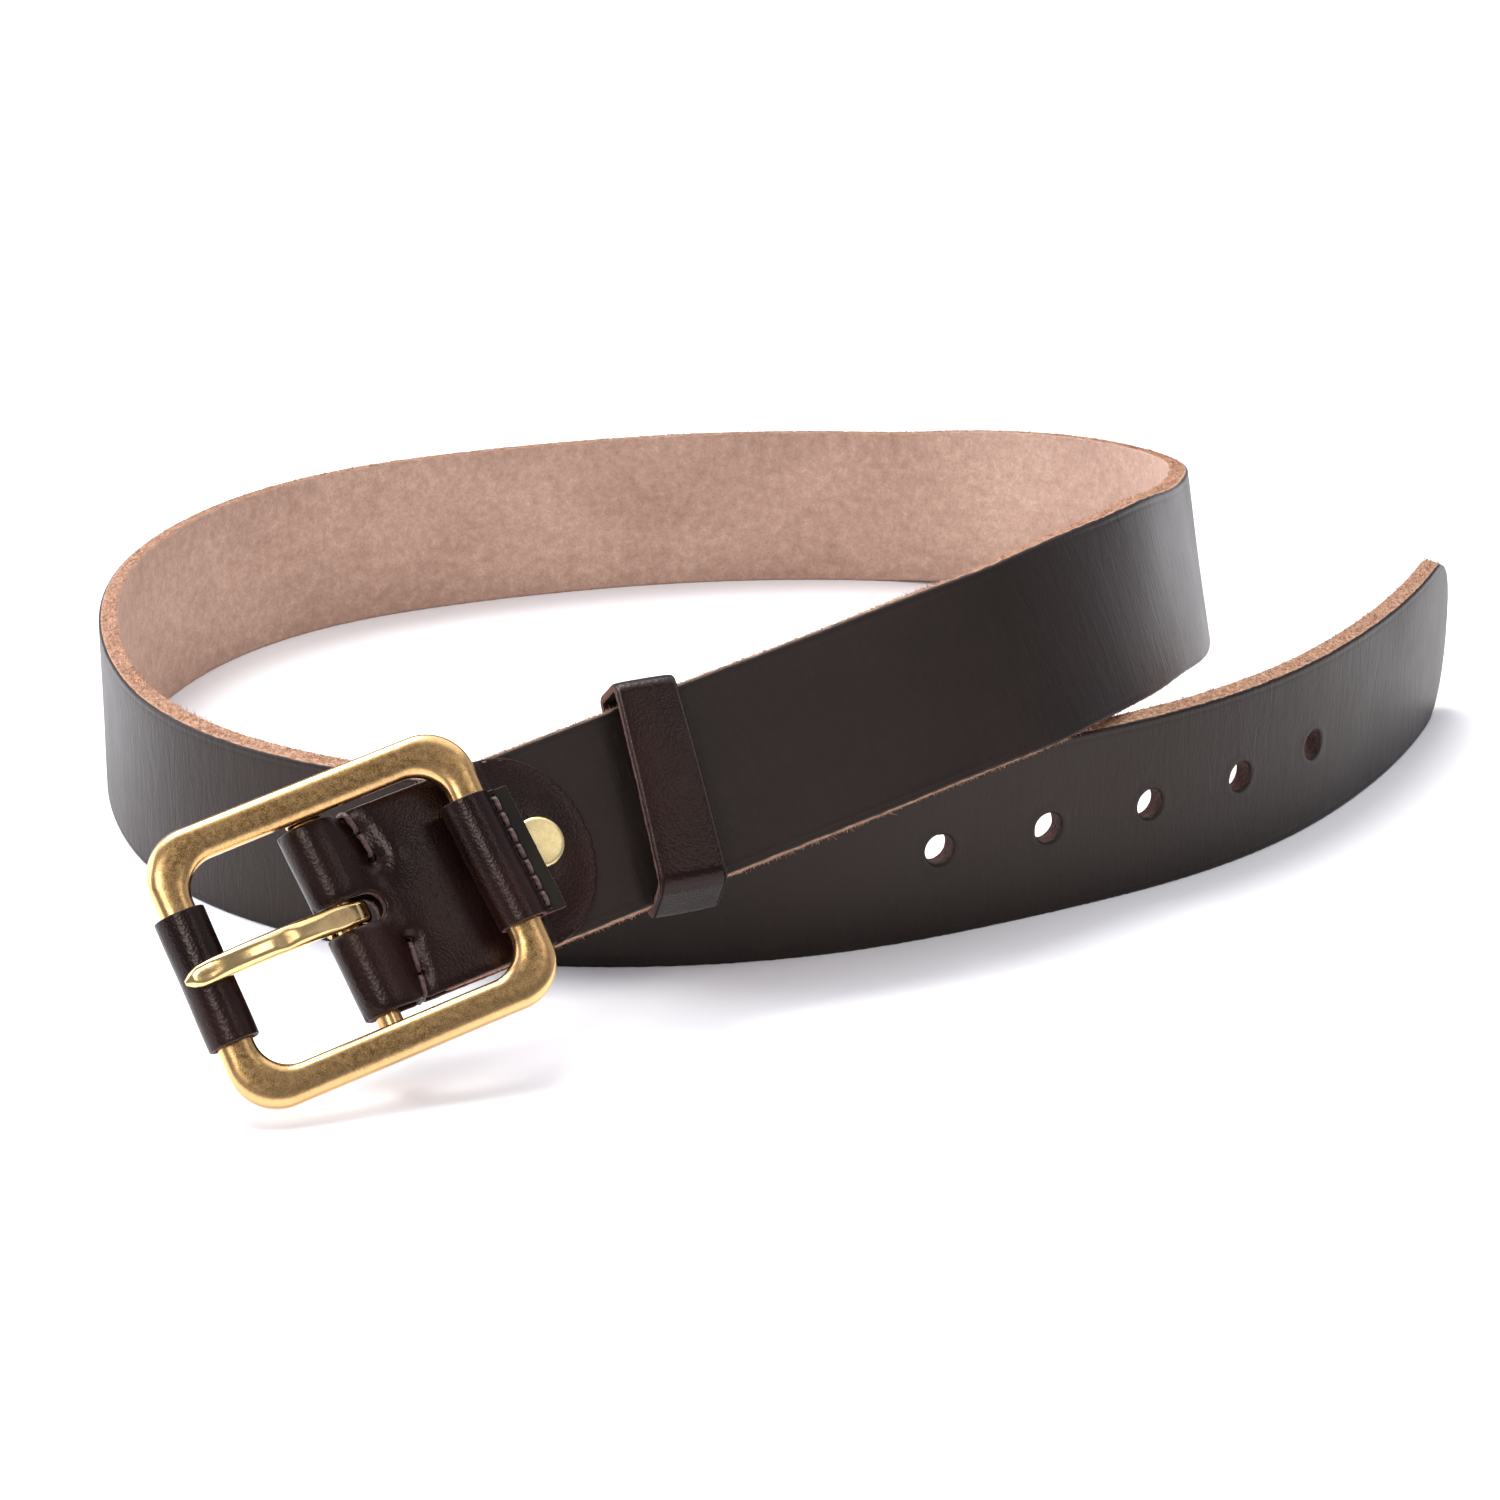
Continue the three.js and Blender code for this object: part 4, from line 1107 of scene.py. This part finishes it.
def prong():
    eye = arc(0, 0, EYE_R, *EYE_ARC, 40)
    blade = [(-1.6, 5.3), (-5.5, 7.2), (-10.5, 9.2), (-16, 10.9),
             (-21.5, 12.0), (-26.5, 12.3), (-30.5, 11.9), (-33.8, 11.0)]
    path = Path2(eye + blade, 3)
    ps = np.linspace(0, path.total, 230)
    x, z, tx, tz = path.at(ps)
    eye_len = math.radians(EYE_ARC[1] - EYE_ARC[0]) * EYE_R
    u = np.clip((ps - eye_len) / (path.total - eye_len), 0, 1)
    half_w = np.interp(u, [0, 0.08, 0.35, 0.8, 0.92, 0.965, 1], [2.25, 2.4, 2.45, 2.35, 2.15, 1.5, 0.45])
    half_t = np.interp(u, [0, 0.1, 0.5, 0.85, 0.95, 1], [1.1, 1.5, 1.55, 1.5, 1.2, 0.45])
    m = 44
    ang = np.linspace(0, 2 * math.pi, m, endpoint=False)
    verts, polish = [], []
    for k in range(len(ps)):
        w, t = half_w[k], half_t[k]
        dent = sum(deep * math.exp(-((u[k] - at) / wide) ** 2) for deep, at, wide in PRONG_DENTS)
        bevel = 0.74 * math.hypot(w, t)
        planes = [(0, w), (180, w), (270, t), (90, t - dent), (48, bevel), (132, bevel), (228, bevel * 1.1),
                  (312, bevel * 1.1)]
        a, b = facet_section(planes, ang)
        skew = 0.25 * dent * np.sin(2 * ang)
        up = np.array([tz[k], -tx[k]])
        side = PRONG_SIDE + np.minimum(x[k], 0) * math.tan(PRONG_TURN)
        verts.append(np.stack([x[k] + up[0] * (b + skew), a + side, z[k] + up[1] * (b + skew)], -1))
        flat = np.clip((b / t - 0.55) / 0.3, 0, 1) * np.clip(1.25 - np.abs(a) / w, 0, 1)
        polish.append(1 - flat * (0.25 + 1.9 * dent))
    verts = np.concatenate(verts)
    n = len(ps)
    faces = []
    for k in range(n - 1):
        p, q = k * m, (k + 1) * m
        faces += [(p + j, q + j, q + (j + 1) % m, p + (j + 1) % m) for j in range(m)]
    faces += [tuple(range(m)), tuple(range((n - 1) * m, n * m))]
    polish = np.clip(np.concatenate(polish) + 0.35 * (noise3(verts * 0.5) - 0.5), 0, 1)
    obj = new_object("prong_bar", on_buckle(verts[:, 0], verts[:, 1], verts[:, 2]), faces, [PRONG_BRASS],
                     floats={"polish": polish})
    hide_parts("prong")
    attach(obj, "prong")


prong()

# ------------------------------------------------------------------ rivet
RX = 40.0
face = C_FLAT + C_T / 2
cap = [(0, -6.2), (1.3, -6.2), (1.3, face - 0.2), (4.7, face - 0.05), (5.0, face + 0.15),
       (4.95, face + 0.5), (4.7, face + 0.72), (4.2, face + 0.8), (2.0, face + 0.86), (0, face + 0.88)]
cv, cf = lathe(cap, 64)
rivet = new_object("rivet_cap_disc", on_seat(RX + cv[:, 0], cv[:, 1], cv[:, 2]), cf, [PALE_BRASS])
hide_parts("rivet_cap")
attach(rivet, "belt")
low = -face
base = [(0, low), (3.9, low), (4.3, low - 0.2), (4.35, low - 0.6),
        (4.0, low - 0.9), (2.2, low - 1.0), (1.6, low - 0.75), (0, low - 0.7)]
dv, df = lathe(base, 64)
rivet_base = new_object("rivet_base_disc", on_seat(RX + dv[:, 0], dv[:, 1], dv[:, 2]), df, [PALE_BRASS])
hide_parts("rivet_base")
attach(rivet_base, "belt")

# ------------------------------------------------------------------ floor, light, camera
FLOOR_HALF = 6
floor_mesh = bpy.data.meshes.new("floor")
floor_mesh.from_pydata([(x * FLOOR_HALF, y * FLOOR_HALF, 0) for x, y in ((-1, -1), (1, -1), (1, 1), (-1, 1))],
                       [], [(0, 1, 2, 3)])
floor = bpy.data.objects.new("floor", floor_mesh)
bpy.context.scene.collection.objects.link(floor)
paper = Mat("floor_paper")
paper.set(Base_Color=(0.9, 0.9, 0.91, 1), Roughness=0.8, Specular_IOR_Level=0.05)
floor_mesh.materials.append(paper.mat)

world = bpy.data.worlds.new("studio")
bpy.context.scene.world = world
world.use_nodes = True
backdrop = world.node_tree.nodes["Background"].inputs
backdrop["Color"].default_value = (0.87, 0.87, 1.0, 1)
backdrop["Strength"].default_value = 0.36
bpy.context.scene.view_settings.view_transform = "Standard"


def area(name, at, target, size, power, color):
    data = bpy.data.lights.new(name, "AREA")
    data.shape = "RECTANGLE"
    data.size, data.size_y = size
    data.energy = power
    data.color = color
    obj = bpy.data.objects.new(name, data)
    bpy.context.scene.collection.objects.link(obj)
    obj.location = at
    obj.rotation_euler = (Vector(target) - Vector(at)).to_track_quat("-Z", "Y").to_euler()


# A broad sun and a box overhead, a cool panel on each side, and two small boxes for the buckle.
BUCKLE_AT = (-0.07, -0.12, 0.03)
bank = bpy.data.lights.new("overhead_bank", "SUN")
bank.energy = 3.4
bank.angle = math.radians(38)
bank.color = (1.0, 0.985, 0.96)
bank_obj = bpy.data.objects.new("overhead_bank", bank)
bpy.context.scene.collection.objects.link(bank_obj)
bank_obj.rotation_euler = Vector((0.28, -0.42, -1.0)).to_track_quat("-Z", "Y").to_euler()
area("overhead_box", (0.0, 0.45, 1.3), (0, 0, 0), (2.4, 1.6), 17.0, (0.97, 0.98, 1.0))
area("left_panel", (-1.2, 0.1, 0.55), (-0.1, 0, 0.03), (1.5, 1.0), 13.0, (0.86, 0.86, 1.0))
area("right_panel", (1.2, 0.2, 0.55), (0.1, 0, 0.03), (1.4, 0.9), 1.4, (0.9, 0.88, 1.0))
area("front_softbox", (-0.38, -1.0, 0.75), BUCKLE_AT, (0.4, 0.4), 5.0, (1.0, 0.98, 0.95))
area("side_softbox", (0.62, -0.66, 0.86), BUCKLE_AT, (0.3, 0.3), 0.95, (1.0, 0.98, 0.95))

# The camera's place is given from the lower edge of the strap at the centre bar, in mm.
CAMERA_SIDE, CAMERA_BACK, CAMERA_HEIGHT = 68.1, 715.7, 340.0
CAMERA_DIP = 20.95
cam_data = bpy.data.cameras.new("camera")
cam = bpy.data.objects.new("camera", cam_data)
bpy.context.scene.collection.objects.link(cam)
cam_data.sensor_width = 36
cam_data.lens = 100.92
cam.location = ((R_FOOT[0, 0] + CAMERA_SIDE) * MM, (R_FOOT[0, 1] - CAMERA_BACK) * MM, CAMERA_HEIGHT * MM)
cam.rotation_euler = (math.radians(90 - CAMERA_DIP), 0, 0)
bpy.context.scene.camera = cam
